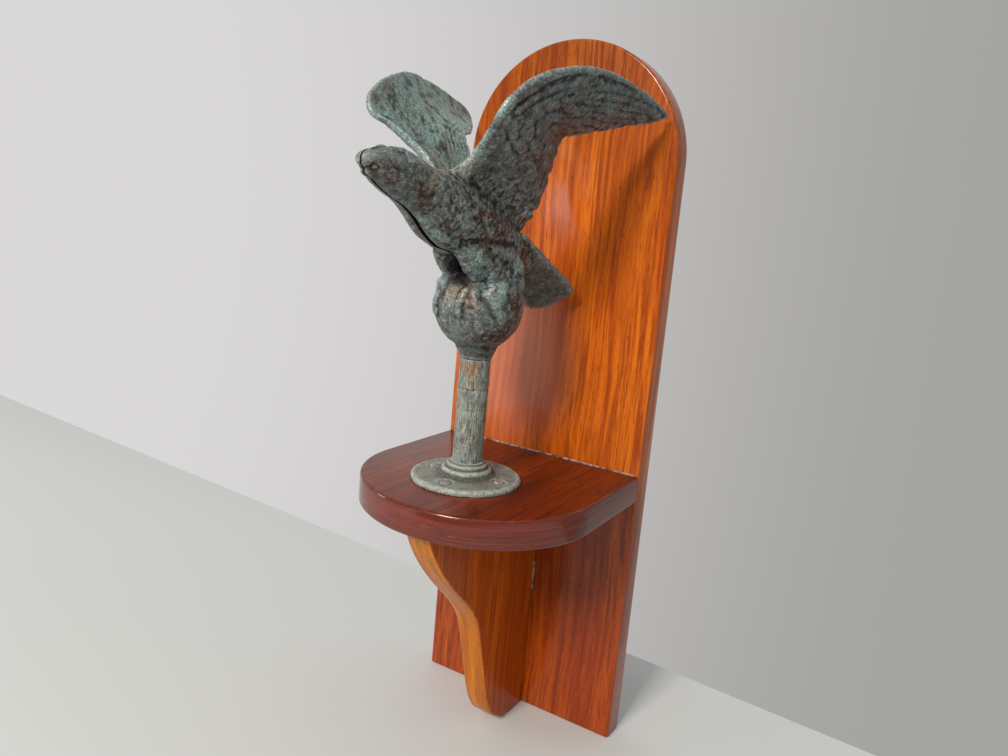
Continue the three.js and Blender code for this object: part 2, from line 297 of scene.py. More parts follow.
# %% Lamps
def add_lamp(name, place, aim, size, watts, tint="#ffffff"):
    """A soft square lamp at place, turned towards aim. Places are in metres."""
    data = bpy.data.lights.new(name, "AREA")
    data.size = size
    data.energy = watts
    data.color = colour(tint)[:3]
    lamp = bpy.data.objects.new(name, data)
    bpy.context.scene.collection.objects.link(lamp)
    turn = (Vector(aim) - Vector(place)).to_track_quat("-Z", "Y").to_matrix().to_4x4()
    lamp.matrix_world = Matrix.Translation(place) @ turn
    print("lamp", name, place, watts, "W")


add_lamp("key", (-0.05, -2.9, 1.8), (0, -0.1, 0.05), 0.8, 100, "#fff8f0")
add_lamp("window", (-0.93, -1.82, 0.215), (0, -0.05, 0.17), 0.11, 0.55)
add_lamp("side window", (-1.9, -0.9, 0.45), (0, -0.15, 0.0), 0.35, 4.8)

# %% [markdown]
# ## Varnished wood
# The bracket is red-brown hardwood, planed and brushed with satin varnish. A picture of wood
# could be laid on it, but then the grain would repeat and stretch. Here it is built from
# noise stretched along the plank: broad bands, streaks a few millimetres wide, fine lines and
# short dark pores. The varnish is a clear coat over it, with a faint ripple, which gives the
# eye deep colour under a soft shine.


# %% Wood material
PORE_TONE, SCRATCH_TONE = "#3a1404", "#b98a6a"


def varnished_wood(name, along, tones, lean, coat, seed, band_mm=26, shade_by_height=None, painted_sheen=None):
    """Satin varnished hardwood. The tones are three for the bands, one for streaks and one for
    fine lines. along lists the axes (0 x, 1 y, 2 z) that the grain's marks run along, and lean
    turns them by some degrees. The stops by height, (z in mm, tone) down the piece, are
    multiplied into the colour as painted shade. The pale patch, as (x, z, half width, half
    height, tone) in mm, is a painted reflection in the varnish."""
    material, tree = new_material(name)
    place = add_node(tree, "TexCoord", out="Object")
    # The marks wander sideways by some millimetres every 200 mm.
    wander = {"Vector": place, "Scale": 1 / (200 * MM), "Detail": 1.0}
    sway = add_node(tree, "TexNoise", wander, "Color")
    bend = add_node(tree, "VectorMath", {0: sway, 1: (0.5, 0.5, 0.5)}, operation="SUBTRACT")
    shift = add_node(tree, "VectorMath", {0: bend, "Scale": 20 * MM}, operation="SCALE")
    bent = add_node(tree, "VectorMath", {0: place, 1: shift}, operation="ADD")
    turn = [0.0, 0.0, 0.0]
    turn[1 if 2 in along else 2] = math.radians(lean)

    def grain(width_mm, length_mm, detail, offset=0.0, distortion=0.0):
        """Noise whose marks are about width_mm across and length_mm along the grain."""
        scale = [1 / ((length_mm if axis in along else width_mm) * MM) for axis in range(3)]
        start = (offset + seed, seed * 0.7, offset)
        way = {"Vector": bent, "Scale": scale, "Rotation": turn, "Location": start}
        marks = {"Scale": 1.0, "Detail": detail, "Roughness": 0.62, "Distortion": distortion}
        return add_node(tree, "TexNoise", {"Vector": add_node(tree, "Mapping", way), **marks})

    bands = grain(band_mm, 420, 3)
    streaks = grain(4.5, 130, 6, 3.0, 0.3)
    tone = add_node(tree, "ValToRGB", {"Fac": bands}, stops=list(zip((0.28, 0.5, 0.72), tones)))
    tone = lay_tone(tree, tone, tones[3], streaks, 0.43, 0.63)
    tone = lay_tone(tree, tone, tones[4], grain(1.5, 38, 3, 7.0), 0.48, 0.76, 0.68)
    tone = lay_tone(tree, tone, PORE_TONE, grain(0.9, 9, 2, 11.0), 0.6, 0.72, 0.62)
    # Painted shade: the colour is multiplied by a tone that changes with height.
    if shade_by_height:
        low, high = shade_by_height[0][0], shade_by_height[-1][0]
        up = add_node(tree, "SeparateXYZ", {"Vector": place}, "Z")
        span = {"Value": up, "From Min": low * MM, "From Max": high * MM}
        stops = [((z - low) / (high - low), level) for z, level in shade_by_height]
        shade = add_node(tree, "ValToRGB", {"Fac": add_node(tree, "MapRange", span)}, stops=stops)
        darken = {0: 1.0, 6: tone, 7: shade}
        tone = add_node(tree, "Mix", darken, 2, data_type="RGBA", blend_type="MULTIPLY")
    # Painted reflection: a soft pale patch laid on the wood, fading out from its middle.
    if painted_sheen:
        x, z, wide, high, sheen_tone = painted_sheen
        scale = (1 / (wide * MM), 0.0, 1 / (high * MM))
        laid = {"Vector": place, "Scale": scale, "Location": (-x / wide, 0, -z / high)}
        reach = add_node(tree, "Mapping", laid)
        apart = add_node(tree, "VectorMath", {0: reach}, "Value", operation="LENGTH")
        tone = lay_tone(tree, tone, sheen_tone, apart, 1.15, 0.35, 0.5, SOFT)
    tone = lay_tone(tree, tone, SCRATCH_TONE, grain(0.5, 26, 1, 17.0), 0.73, 0.76, 0.5)
    ripple = add_node(tree, "TexNoise", {"Vector": place, "Scale": 1 / (6.25 * MM), "Detail": 2.0})
    height = add_node(tree, "Math", {0: ripple, 1: streaks}, operation="ADD")
    bump = add_node(tree, "Bump", {"Height": height, "Strength": 0.12, "Distance": 0.6 * MM})
    surface = {"Base Color": tone, "Roughness": 0.5, "Specular IOR Level": 0.1}
    varnish = {"Coat Weight": coat, "Coat Roughness": 0.15, "Normal": bump, "Coat Normal": bump}
    finish_material(tree, {**surface, **varnish})
    return material


# %% The bracket's five woods
# The board is orange, darkened below the shelf by painted shade, where the shelf shades it,
# and darker towards its top. A pale patch of painted reflection lies on its left, above the
# shelf. The shelf is darker. The sanded edges show broader grain: the shelf's edge is mauve,
# partly a painted sheen, and the corbel's front is paler, partly painted light.
BOARD_TONES = ("#ac4804", "#ca6006", "#dd7510", "#9a3e02", "#7c2e02")
# Painted shade by height: darker below the shelf, where the shelf shades the board, and darker towards
# the top.
BOARD_SHADE_BY_HEIGHT = [
    (-313, "#d4bcb4"), (-200, "#c4aca4"), (-90, "#c6aea6"), (-55, 0.95),
    (60, 1.0), (170, 1.0), (230, 0.8), (300, 0.62),
]
# Painted reflection: a pale pinkish patch left of the middle, above the shelf.
BOARD_PAINTED_SHEEN = (-38, 22, 72, 92, "#c67a62")
SHELF_TONES = ("#591b02", "#782802", "#8e3902", "#501804", "#3b1002")
# The shelf's edge tones are mauve: sanded grain with a painted sheen mixed in.
EDGE_TONES_WITH_SHEEN = ("#642415", "#70291a", "#7e3420", "#5c2014", "#4c190f")
CORBEL_TONES = ("#9a3b00", "#b54f02", "#c86206", "#963a00", "#7c2d00")
# The corbel's front tones are paler than its sides: sanded grain, and painted light, as the front faces
# the lamps and the sides lie in shade.
NOSE_TONES_WITH_LIGHT = ("#a6560a", "#cc7816", "#dd902e", "#a8580e", "#904408")
shade_and_sheen = {"shade_by_height": BOARD_SHADE_BY_HEIGHT, "painted_sheen": BOARD_PAINTED_SHEEN}
satin, sanded = "satin varnished hardwood, ", "sanded and varnished hardwood, "
board_wood = varnished_wood(satin + "board", (2,), BOARD_TONES, 6, 0.6, 2.0, **shade_and_sheen)
shelf_wood = varnished_wood(satin + "shelf", (1,), SHELF_TONES, 8, 0.5, 11.0)
shelf_edge_with_sheen = varnished_wood(sanded + "shelf edge with painted sheen", (0, 1), EDGE_TONES_WITH_SHEEN, 0, 0.9, 31.0, 9)
corbel_wood = varnished_wood(satin + "corbel", (2,), CORBEL_TONES, 2, 0.3, 23.0)
corbel_front_with_light = varnished_wood(sanded + "corbel front, painted light", (1, 2), NOSE_TONES_WITH_LIGHT, 0, 0.4, 41.0, 14)
print("wood", [wood.name for wood in (board_wood, shelf_wood, shelf_edge_with_sheen, corbel_wood, corbel_front_with_light)])

# %% [markdown]
# ## Backboard
# A plank with straight sides and a round head, all its rims eased. A box with a cylinder on
# top would leave a joint in it, so the outline comes first: a filled circle loses its lower
# half, and the straight edge is extruded down to the foot. The outline is then extruded to
# the plank's thickness, and a bevel rounds the rims.

# %% Outline tools
BOARD_WIDTH, BOARD_THICK, HALF_HEIGHT = 203 * MM, 25 * MM, 313
BOARD_TOP, BOARD_FOOT = HALF_HEIGHT * MM, -HALF_HEIGHT * MM
ARCH_Z = BOARD_TOP - BOARD_WIDTH / 2


def flat_outline(radius, place, turn, scale=(1, 1, 1)):
    """A filled circle with its place, turn and scale applied."""
    start_clean()
    bpy.ops.mesh.primitive_circle_add(
        vertices=160, radius=radius, fill_type="NGON", location=place, rotation=turn
    )
    piece = bpy.context.object
    piece.scale = scale
    bpy.ops.object.transform_apply(location=True, rotation=True, scale=True)
    return piece


def cut(piece, point, normal, fill=False):
    """Cuts the piece by a plane and removes what is behind the plane's normal."""
    take(piece)
    bpy.ops.object.mode_set(mode="EDIT")
    bpy.ops.mesh.select_all(action="SELECT")
    bpy.ops.mesh.bisect(plane_co=point, plane_no=normal, clear_inner=True, use_fill=fill)
    bpy.ops.object.mode_set(mode="OBJECT")


def pull_edge(piece, axis, level_value, move):
    """Extrudes the straight edge that lies at a level of an axis."""
    take(piece)
    bpy.ops.object.mode_set(mode="EDIT")
    bpy.ops.mesh.select_mode(type="EDGE")
    bpy.ops.mesh.select_all(action="DESELECT")
    bpy.ops.object.mode_set(mode="OBJECT")
    points = piece.data.vertices
    for edge in piece.data.edges:
        edge.select = all(abs(points[i].co[axis] - level_value) < 1e-6 for i in edge.vertices)
    bpy.ops.object.mode_set(mode="EDIT")
    bpy.ops.mesh.extrude_region_move(TRANSFORM_OT_translate={"value": move})
    bpy.ops.object.mode_set(mode="OBJECT")


def thicken(piece, move):
    """Extrudes the whole flat outline into a plank."""
    take(piece)
    bpy.ops.object.mode_set(mode="EDIT")
    bpy.ops.mesh.select_mode(type="FACE")
    bpy.ops.mesh.select_all(action="SELECT")
    bpy.ops.mesh.dissolve_faces()
    bpy.ops.mesh.extrude_region_move(TRANSFORM_OT_translate={"value": move})
    bpy.ops.mesh.select_all(action="SELECT")
    bpy.ops.mesh.normals_make_consistent(inside=False)
    bpy.ops.object.mode_set(mode="OBJECT")


def ease_rims(piece, width_mm):
    """Rounds the sharp rims, as sandpaper does."""
    sharp = {"limit_method": "ANGLE", "angle_limit": math.radians(50)}
    apply_modifier(piece, "BEVEL", width=width_mm * MM, segments=5, **sharp)


# %% Backboard
board = flat_outline(BOARD_WIDTH / 2, (0, 0, ARCH_Z), (math.pi / 2, 0, 0))
cut(board, (0, 0, ARCH_Z), (0, 0, 1))
pull_edge(board, 2, ARCH_Z, (0, 0, BOARD_FOOT - ARCH_Z))
thicken(board, (0, -BOARD_THICK, 0))
ease_rims(board, 2.2)
settle(board, "backboard_wood", 40)
attach(board, board_wood, "backboard")

# %% [markdown]
# ## Shelf
# The shelf is as wide as the board, and its front is half an ellipse. It is made in the same
# way as the board, reaching into the board at first. The bevel comes next, and the last cut
# leaves the back edge square against the board.

# %% Shelf
SHELF_TOP, SHELF_THICK = -59 * MM, 24 * MM
SHELF_DEPTH, SHELF_STRAIGHT = 196 * MM, 98 * MM
SPARE = 10 * MM
JOINT_Y = -BOARD_THICK - 0.3 * MM
round_y = -BOARD_THICK - SHELF_STRAIGHT
front_stretch = (SHELF_DEPTH - SHELF_STRAIGHT) / (BOARD_WIDTH / 2)

shelf = flat_outline(BOARD_WIDTH / 2, (0, round_y, SHELF_TOP), (0, 0, 0), (1, front_stretch, 1))
cut(shelf, (0, round_y, SHELF_TOP), (0, -1, 0))
pull_edge(shelf, 1, round_y, (0, SHELF_STRAIGHT + SPARE, 0))
thicken(shelf, (0, 0, -SHELF_THICK))
ease_rims(shelf, 2.6)
cut(shelf, (0, JOINT_Y, 0), (0, -1, 0), fill=True)
settle(shelf, "shelf_wood", 40)
attach(shelf, shelf_wood, "shelf")
face_finish(shelf, shelf_edge_with_sheen, lambda centre, normal: abs(normal.z) < 0.5)

# %% [markdown]
# ## Corbel
# A plank on edge that carries the shelf. Its front swells out at the top, sinks into a cove
# and ends in a round nose. Such a line is hard to draw with extrusions, so the outline is a
# Bezier curve, filled and given depth and an eased rim, then made a mesh. Two cuts leave it
# square against the shelf and the board.

# %% Corbel outline
# Knots as (left handle, knot, right handle), in mm from the board's front and up from its foot.
CORBEL_KNOTS = [
    ((-10, 20), (-10, 0), (0, 0)),
    ((15, 1), (28, 2), (54, 5)),
    ((65, 24), (73, 50), (79, 70)),
    ((86, 92), (92, 112), (97, 127)),
    ((107, 138), (121, 152), (147, 176)),
    ((172, 203), (181, 230), (182, 233)),
    ((184, 237), (185, 240), (120, 240)),
    ((60, 240), (-10, 240), (-10, 200)),
]
CORBEL_THICK, CORBEL_X, CORBEL_EASE, CORBEL_GAP = 23, -3, 2, 1.2

start_clean()
bpy.ops.curve.primitive_bezier_curve_add()
corbel = bpy.context.object
outline = corbel.data
outline.dimensions = "2D"
outline.fill_mode = "BOTH"
outline.resolution_u = 14
outline.extrude = (CORBEL_THICK / 2 - CORBEL_EASE) * MM
outline.bevel_depth = CORBEL_EASE * MM
outline.bevel_resolution = 3
outline.offset = -CORBEL_EASE * MM
spline = outline.splines[0]
spline.bezier_points.add(len(CORBEL_KNOTS) - 2)
spline.use_cyclic_u = True
for point, knot in zip(spline.bezier_points, CORBEL_KNOTS):
    point.handle_left_type = point.handle_right_type = "FREE"
    point.handle_left, point.co, point.handle_right = [(a * MM, b * MM, 0) for a, b in knot]

# %% Corbel
corbel.rotation_euler = (math.pi / 2, 0, -math.pi / 2)
corbel.location = (CORBEL_X * MM, -BOARD_THICK, BOARD_FOOT)
bpy.ops.object.convert(target="MESH")
bpy.ops.object.transform_apply(location=True, rotation=True, scale=True)
bpy.ops.object.mode_set(mode="EDIT")
bpy.ops.mesh.select_all(action="SELECT")
bpy.ops.mesh.remove_doubles(threshold=0.01 * MM)
bpy.ops.object.mode_set(mode="OBJECT")
cut(corbel, (0, JOINT_Y - CORBEL_GAP * MM, 0), (0, -1, 0), fill=True)
cut(corbel, (0, 0, SHELF_TOP - SHELF_THICK - 0.3 * MM), (0, 0, -1), fill=True)
settle(corbel, "corbel_wood", 40)
attach(corbel, corbel_wood, "corbel")
face_finish(corbel, corbel_front_with_light, lambda centre, normal: abs(normal.x) < 0.6)

# %% [markdown]
# ## Worn metal surface
# The castings are rough and weathered, so their points are moved in and out a little by
# noise. A displace modifier would do it with a texture. Here the noise is worked out in plain
# numbers from each point's place, so that it can be held back where the metal is smooth.


# %% Noise for worn metal
def lattice(cells, seed):
    """A fixed random value from 0 to 1 for each whole-number cell."""
    x, y, z = (cells[..., i].astype(np.int64) for i in range(3))
    mixed = (x * 73856093) ^ (y * 19349663) ^ (z * 83492791) ^ (seed * 2654435761)
    mixed = (mixed ^ (mixed >> 13)) * 1274126177
    return ((mixed ^ (mixed >> 16)) & 0xFFFFFF) / 0xFFFFFF


def noise(points, size, seed):
    """Smooth noise from -1 to 1 with bumps of about the given size."""
    scaled = points / size
    cell = np.floor(scaled)
    t = scaled - cell
    t = t * t * (3 - 2 * t)
    total = np.zeros(len(points))
    for corner in np.ndindex(2, 2, 2):
        offset = np.array(corner)
        weight = np.prod(np.where(offset == 1, t, 1 - t), axis=1)
        total += weight * lattice(cell + offset, seed)
    return total * 2 - 1


def weather(piece, layers, seed, share=1.0):
    """Moves points along their normals by layers of (bump size mm, height mm)."""
    points, normals = mesh_points(piece), mesh_normals(piece)
    shift = np.zeros(len(points))
    for i, (size, height) in enumerate(layers):
        shift += height * noise(points / MM, size, seed + i)
    set_points(piece, points + normals * (shift * share)[:, None] * MM)


# %% [markdown]
# ## The eagle's shape
# The eagle is cast in two halves that meet at a seam. Each half starts as closed shells:
# body, wing, leg, tail and ball. Joined as they are, they would cut through each other with
# hard lines. A voxel remesh melts them into one skin, as a casting is, and the creases where
# they meet are filled a little. Feathers, toes and folds are then raised from that skin.
# Lengths here are in mm, in the eagle's own measure: out from the seam, ahead of the post,
# up from the board's foot.

# %% Smooth rows and closed shells
POST_X, POST_Y = -4.8, -139.5


def smooth_rows(rows, count):
    """A smooth curve through rows of numbers, sampled evenly."""
    rows = np.array(rows, float)
    padded = np.vstack([2 * rows[0] - rows[1], rows, 2 * rows[-1] - rows[-2]])
    place = np.linspace(0, len(rows) - 1, count)
    k = np.minimum(place.astype(int), len(rows) - 2)
    t = (place - k)[:, None]
    p0, p1, p2, p3 = padded[k], padded[k + 1], padded[k + 2], padded[k + 3]
    curve = (2 * p0 - 5 * p1 + 4 * p2 - p3) * t**2 + (3 * p1 - p0 - 3 * p2 + p3) * t**3
    return 0.5 * (2 * p1 + (p2 - p0) * t + curve)


def unit(vectors):
    return vectors / np.maximum(np.linalg.norm(vectors, axis=-1, keepdims=True), 1e-9)


def closed_shell(rings):
    """Points and faces of a skin over rings of equal count, capped at both ends."""
    rings = np.asarray(rings)
    count, size = rings.shape[:2]
    points = np.vstack([rings.reshape(-1, 3), rings[0].mean(axis=0), rings[-1].mean(axis=0)])
    first, last = len(points) - 2, len(points) - 1
    faces = []
    for k in range(count - 1):
        for i in range(size):
            a, b = k * size + i, k * size + (i + 1) % size
            faces.append((a, b, b + size, a + size))
    for i in range(size):
        j = (i + 1) % size
        faces.append((first, j, i))
        faces.append((last, (count - 1) * size + i, (count - 1) * size + j))
    return points, faces


def tube(points, sizes):
    """A closed tube of changing size along points."""
    rows = smooth_rows(np.column_stack([points, sizes]), 6 * len(points))
    points, sizes = rows[:, :3], np.maximum(rows[:, 3], 0.2)
    direction = unit(np.gradient(points, axis=0))
    side = unit(np.cross(direction, [0.05, 0.1, 1.0]))
    other = np.cross(side, direction)
    turn = np.linspace(0, 2 * np.pi, 28, endpoint=False)[None, :, None]
    ring = side[:, None] * np.cos(turn) + other[:, None] * np.sin(turn)
    return closed_shell(points[:, None] + sizes[:, None, None] * ring)


# %% Wing tables
# Ribs from the root to the tip: front edge (out, ahead, up), then back edge.
RIBS = [
    (6, 60, 488, 14, -22, 458),
    (19, 60, 506, 26, -24, 472),
    (41, 71, 525, 34, -27, 497),
    (54, 82, 534, 41, -25, 520),
    (62, 76, 548, 45, -23.5, 531.5),
    (67, 54, 563, 48, -30, 534),
    (77, 18, 575, 52, -41.5, 537.4),
    (87, -20, 577, 61, -56, 542),
    (91, -57, 573.4, 75, -77, 549),
    (94.4, -91, 567.4, 88, -96, 555),
    (97, -106, 562, 96, -107, 559.5),
]
# Covert feathers on the outer face: along the wing, back from its front edge, half length,
# half width and turn in degrees.
COVERTS = [
    (82, 32, 10, 6, 98), (94, 33, 10, 7, -43), (107, 32, 8, 8, 5), (79, 51, 12, 8, 109),
    (93, 54, 12, 10, 44), (75, 32, 7, 7, 160), (68, 21, 7, 6, 176), (59, 22, 8, 7, 150),
    (67, 38, 10, 7, 110), (73, 63, 14, 6, 87), (56, 36, 12, 6, 75), (44, 20, 8, 7, 106),
    (62, 60, 13, 7, 91), (70, 84, 12, 8, 98), (51, 50, 13, 6, 77), (60, 82, 11, 9, 99),
    (40, 33, 10, 6, 80), (47, 62, 13, 6, 83), (53, 76, 10, 7, 90), (31, 20, 8, 6, 105),
    (35, 48, 11, 6, 88), (22, 45, 7, 5, 64), (42, 76, 10, 8, 100), (35, 87, 8, 9, 100),
    (30, 66, 11, 7, 93), (18, 61, 9, 6, 98), (24, 82, 9, 6, 90), (22, 26, 8, 6, 95),
    (27, 11, 7, 6, 103), (27, 33, 7, 5, 90), (112, 44, 10, 8, 11), (111, 62, 13, 8, 0),
    (130, 52, 13, 7, -13), (96, 72, 12, 8, 30), (84, 76, 12, 8, 70), (12, 44, 7, 6, 90),
    (14, 76, 8, 6, 95), (50, 10, 8, 6, 120), (40, 8, 7, 5, 110),
]
# Flight feathers on the outer face: half width, then points along the wing and back from its
# front edge.
PRIMARIES = [
    (4.0, [(76, 14), (94, 18), (117, 14), (134, 5)]),
    (3.6, [(89, 27), (104, 24), (121, 17), (140, 9)]),
    (4.2, [(119, 22), (142, 13), (169, 8), (204, 2)]),
    (4.0, [(113, 30), (139, 21), (165, 15), (208, 7)]),
    (3.8, [(128, 31), (161, 23), (187, 16), (214, 7)]),
    (4.2, [(124, 40), (145, 32), (168, 30), (199, 17)]),
    (4.6, [(108, 50), (136, 42), (159, 39), (185, 30)]),
    (4.8, [(100, 66), (122, 55), (150, 50), (172, 42)]),
    (5.0, [(96, 80), (118, 68), (140, 62)]),
]
# Notches between the ends of the feathers along the back edge: along the wing, depth.
NOTCHES = [
    (13, 2), (23, 3.5), (38, 1.5), (53, 3.5), (63, 2), (72, 2), (96, 1.4), (112, 1.2),
    (130, 1.2), (148, 1.2), (166, 1.2), (184, 1), (200, 0.8),
]
print(len(COVERTS), "coverts,", len(PRIMARIES), "flight feathers")


# %% Feathers as domes and ridges
def domes(p, q, marks, height):
    """Height of overlapping domes. Each mark is (p, q, half length, half width, degrees)."""
    relief = np.zeros(p.shape)
    for centre_p, centre_q, long, wide, degrees in marks:
        c, s = math.cos(math.radians(degrees)), math.sin(math.radians(degrees))
        x = ((p - centre_p) * c + (q - centre_q) * s) / long
        y = ((q - centre_q) * c - (p - centre_p) * s) / wide
        inside = np.clip(1 - x * x - y * y, 0, 1)
        relief = np.maximum(relief, height * inside**0.45 * (0.75 + 0.25 * x))
    return relief


def ridges(p, q, lines, height):
    """Height of round ridges. Each line is (half width, [(p, q), ...])."""
    relief = np.zeros(p.shape)
    for wide, line in lines:
        nearest = np.full(p.shape, 1e9)
        for (p0, q0), (p1, q1) in zip(line, line[1:]):
            dp, dq = p1 - p0, q1 - q0
            t = np.clip(((p - p0) * dp + (q - q0) * dq) / (dp * dp + dq * dq), 0, 1)
            nearest = np.minimum(nearest, np.hypot(p - p0 - t * dp, q - q0 - t * dq))
        relief = np.maximum(relief, height * np.clip(1 - (nearest / wide) ** 2, 0, 1) ** 0.6)
    return relief


# %% Wing
# Plate thickness at the front and back edge and how far it bulges out, height of the outer
# feathers, and the spacing and height of the fine comb on the inner face, all in mm.
PLATE_FRONT, PLATE_BACK, PLATE_BULGE = 5.6, 3.0, 5
COVERT_HEIGHT, RIDGE_HEIGHT, RIM_HEIGHT = 1.6, 1.0, 1.4
COMB_STEP, COMB_HEIGHT = 4.4, 0.28


def bent_rows(drop, worn, count=230):
    """Front edge, chord and place along the wing of each rib, with the notches cut. drop
    lowers the wing's tip, and worn is how much of the notches is left."""
    ribs = smooth_rows(RIBS, count)
    lowered = drop * np.maximum(0, np.linspace(0, 1, count) - 0.3)
    front, back_edge = ribs[:, :3].copy(), ribs[:, 3:].copy()
    front[:, 2] -= lowered
    back_edge[:, 2] -= lowered
    middle = (front + back_edge) / 2
    steps = np.linalg.norm(np.diff(middle, axis=0), axis=1)
    along = np.concatenate([[0], np.cumsum(steps)])
    chord = back_edge - front
    plain = np.linalg.norm(chord, axis=1)
    reach = np.full(count, 2.0)
    for place, depth_mm in NOTCHES:
        reach -= worn * (depth_mm + 0.6) * np.exp(-(((along - place) / 2.2) ** 2))
    chord = chord * (1 + np.minimum(reach, 0.12 * plain) / plain)[:, None]
    span = np.gradient(middle, axis=0)
    flip = np.array([1, -1, 1])
    face = unit(np.cross(chord * flip, span * flip)) * flip
    return front, chord, face, along, plain


def wing_shell(drop, worn, strips=92):
    """The wing's skin: a curved plate with feathers outside and a fine comb inside."""
    front, chord, face, along, plain = bent_rows(drop, worn)
    length = np.linalg.norm(chord, axis=1)
    share = np.linspace(0, 1, len(along))
    u = 0.5 - 0.5 * np.cos(np.pi * np.linspace(0, 1, strips))
    p = np.repeat(along[:, None], strips, axis=1)
    q = u[None] * length[:, None]
    left = length[:, None] - q
    full = (PLATE_FRONT + (PLATE_BACK - PLATE_FRONT) * u[None]) * (1 - 0.35 * share[:, None])
    rim = np.minimum(np.minimum(q, left) / (full / 2), 1)
    half = full / 2 * np.sqrt(1 - (1 - rim) ** 2)
    bulge = PLATE_BULGE * np.sin(np.pi * u)[None] * np.minimum(1, length / 60)[:, None]
    place = front[:, None] + chord[:, None] * u[None, :, None]
    fade = np.clip(np.minimum(q - 1, left) / 3, 0, 1)
    # A plain band runs along the front edge, widest at the wrist.
    band_edge = np.interp(along, [0, 40, 58, 76, 90, 112, 130, 226], [2, 3, 4, 8, 11, 6, 4, 2])
    band = np.clip((band_edge[:, None] - q) / 1.6, 0, 1)
    feathers = np.maximum(domes(p, q, COVERTS, COVERT_HEIGHT), ridges(p, q, PRIMARIES, RIDGE_HEIGHT))
    outer_relief = fade * (feathers * (1 - band) + RIM_HEIGHT * band - 0.8)
    # The comb lies on the back third of the inner face, away from root and tip.
    stripe = np.clip((q / length[:, None] - 0.7) / 0.08, 0, 1)
    stripe = stripe * np.clip((p - 34) / 20, 0, 1) * np.clip((150 - p) / 30, 0, 1)
    comb = np.cos(2 * np.pi * (plain[:, None] * (1 - u[None]) + 0.04 * p) / COMB_STEP)
    inner_relief = np.clip(left / 2, 0, 1) * stripe * COMB_HEIGHT * comb
    outer = place + face[:, None] * (bulge + half + outer_relief)[..., None]
    inner = place + face[:, None] * (bulge - half - inner_relief)[..., None]
    return closed_shell(np.concatenate([outer, inner[:, -2:0:-1]], axis=1))


# %% Body and head
# Stations from beak to rump: ahead of the post, top, bottom and half width.
BODY = [
    (150.2, 497.0, 493.2, 2.6),
    (149.4, 498.4, 492.0, 5.0),
    (147.6, 500.2, 490.8, 6.6),
    (144.5, 501.8, 489.6, 7.9),
    (140, 503, 485, 9.6),
    (133, 504.2, 480.5, 12),
    (120, 506.0, 474.5, 14.5),
    (107, 505, 469.5, 16.5),
    (94, 500.5, 462.5, 19),
    (80, 497, 452, 22),
    (66, 496, 444, 25),
    (50, 492, 440, 27),
    (26, 483, 434, 28),
    (2, 471, 428, 27.5),
    (-22, 458, 425, 25.5),
    (-44, 445, 419, 20),
]


def body_shell(count=200, around=70):
    """Half the body from beak to rump."""
    stations = smooth_rows(BODY, count)
    ahead, high, low, wide = stations.T
    angle = np.linspace(-np.pi / 2, np.pi / 2, around)
    middle, half = (high + low) / 2, (high - low) / 2
    x = wide[:, None] * np.abs(np.cos(angle)[None]) ** 0.92
    z = middle[:, None] + half[:, None] * np.sin(angle)[None]
    y = np.repeat(ahead[:, None], around, axis=1)
    # The flank over the thigh swells out in a low dome with a step round it.
    from_flank = np.sqrt(((y - 44) / 30) ** 2 + ((z - 460) / 17) ** 2)
    x = x + 2.6 * np.sqrt(np.clip(1 - from_flank**2, 0, 1)) * (x > 8)
    place = np.stack([x, y, z], axis=-1)
    inside = np.stack([np.full((count, 2), -3.0), y[:, [-1, 0]], z[:, [-1, 0]]], axis=-1)
    return closed_shell(np.concatenate([place, inside], axis=1))


def jaw_shell():
    """The lower beak, a thin tongue under the hooked upper one."""
    tongue = [(0.4, 132, 487.5), (1.0, 139, 487.6), (1.4, 144, 487.9), (1.4, 147.2, 488.6)]
    return tube(tongue, [5.0, 3.4, 2.3, 1.2])


# %% Tail
# Stations: ahead of the post, height over the seam on top and below, edge height, half width.
TAIL = [
    (-18, 456, 426, 454, 25),
    (-40, 446, 422, 443, 27),
    (-64, 428, 408, 430, 30),
    (-84, 411, 395, 418, 34.5),
    (-95, 404.5, 391, 410, 35.5),
]


def tail_shell(count=110, around=52):
    """Half the tail: a plate bent to a keel, with feather ridges on top."""
    stations = smooth_rows(TAIL, count)
    share = np.linspace(0, 1, count)[:, None]
    ahead, high, low, rim, wide = (stations[:, i : i + 1] for i in range(5))
    w = np.linspace(-0.06, 1, around)[None]
    over = np.clip(w, 0, 1)
    y = ahead + 11 * (1 - over) ** 1.4 * share**3
    x = wide * w
    near_seam = np.clip(w * 4, 0.3, 1)
    rounding = 2.4 * np.sqrt(np.clip(1 - np.clip((w - 0.92) / 0.08, 0, 1) ** 2, 0, 1)) * near_seam
    feather = 0.9 * np.abs(np.sin(np.pi * 3.5 * over)) * np.clip(share * 2, 0, 1)
    on_top = high + (rim - high) * over**0.9 + rounding + feather * (w < 0.95)
    below = low + (rim - low) * over**1.15 - rounding - 1.2 * np.sin(np.pi * over) * share
    top_side = np.stack([x + 0 * y, y, on_top], axis=-1)
    low_side = np.stack([x + 0 * y, y, below], axis=-1)
    return closed_shell(np.concatenate([top_side, low_side[:, ::-1]], axis=1))


# %% Ball
BALL_AHEAD, BALL_UP, BALL_RADIUS = 2, 397, 35
# The socket under it, as radius and height up to where the ball begins.
BALL_PROFILE = [(12.6, 355.5), (12.8, 357), (14.2, 360), (16.2, 363), (16.8, 364.6), (16.3, 365.8)]


def ball_shell(around=150):
    """The ball and the socket under it."""
    profile = list(BALL_PROFILE)
    for angle in np.radians(np.linspace(152, 4, 60)):
        profile.append((BALL_RADIUS * math.sin(angle), BALL_UP + BALL_RADIUS * math.cos(angle)))
    turn = np.linspace(0, 2 * np.pi, around, endpoint=False)
    rings = []
    for radius, up in profile:
        ahead = BALL_AHEAD * min(1, max(0, (up - 362) / 8))
        level = np.full(around, up)
        rings.append(np.stack([radius * np.cos(turn), ahead + radius * np.sin(turn), level], axis=1))
    return closed_shell(rings)


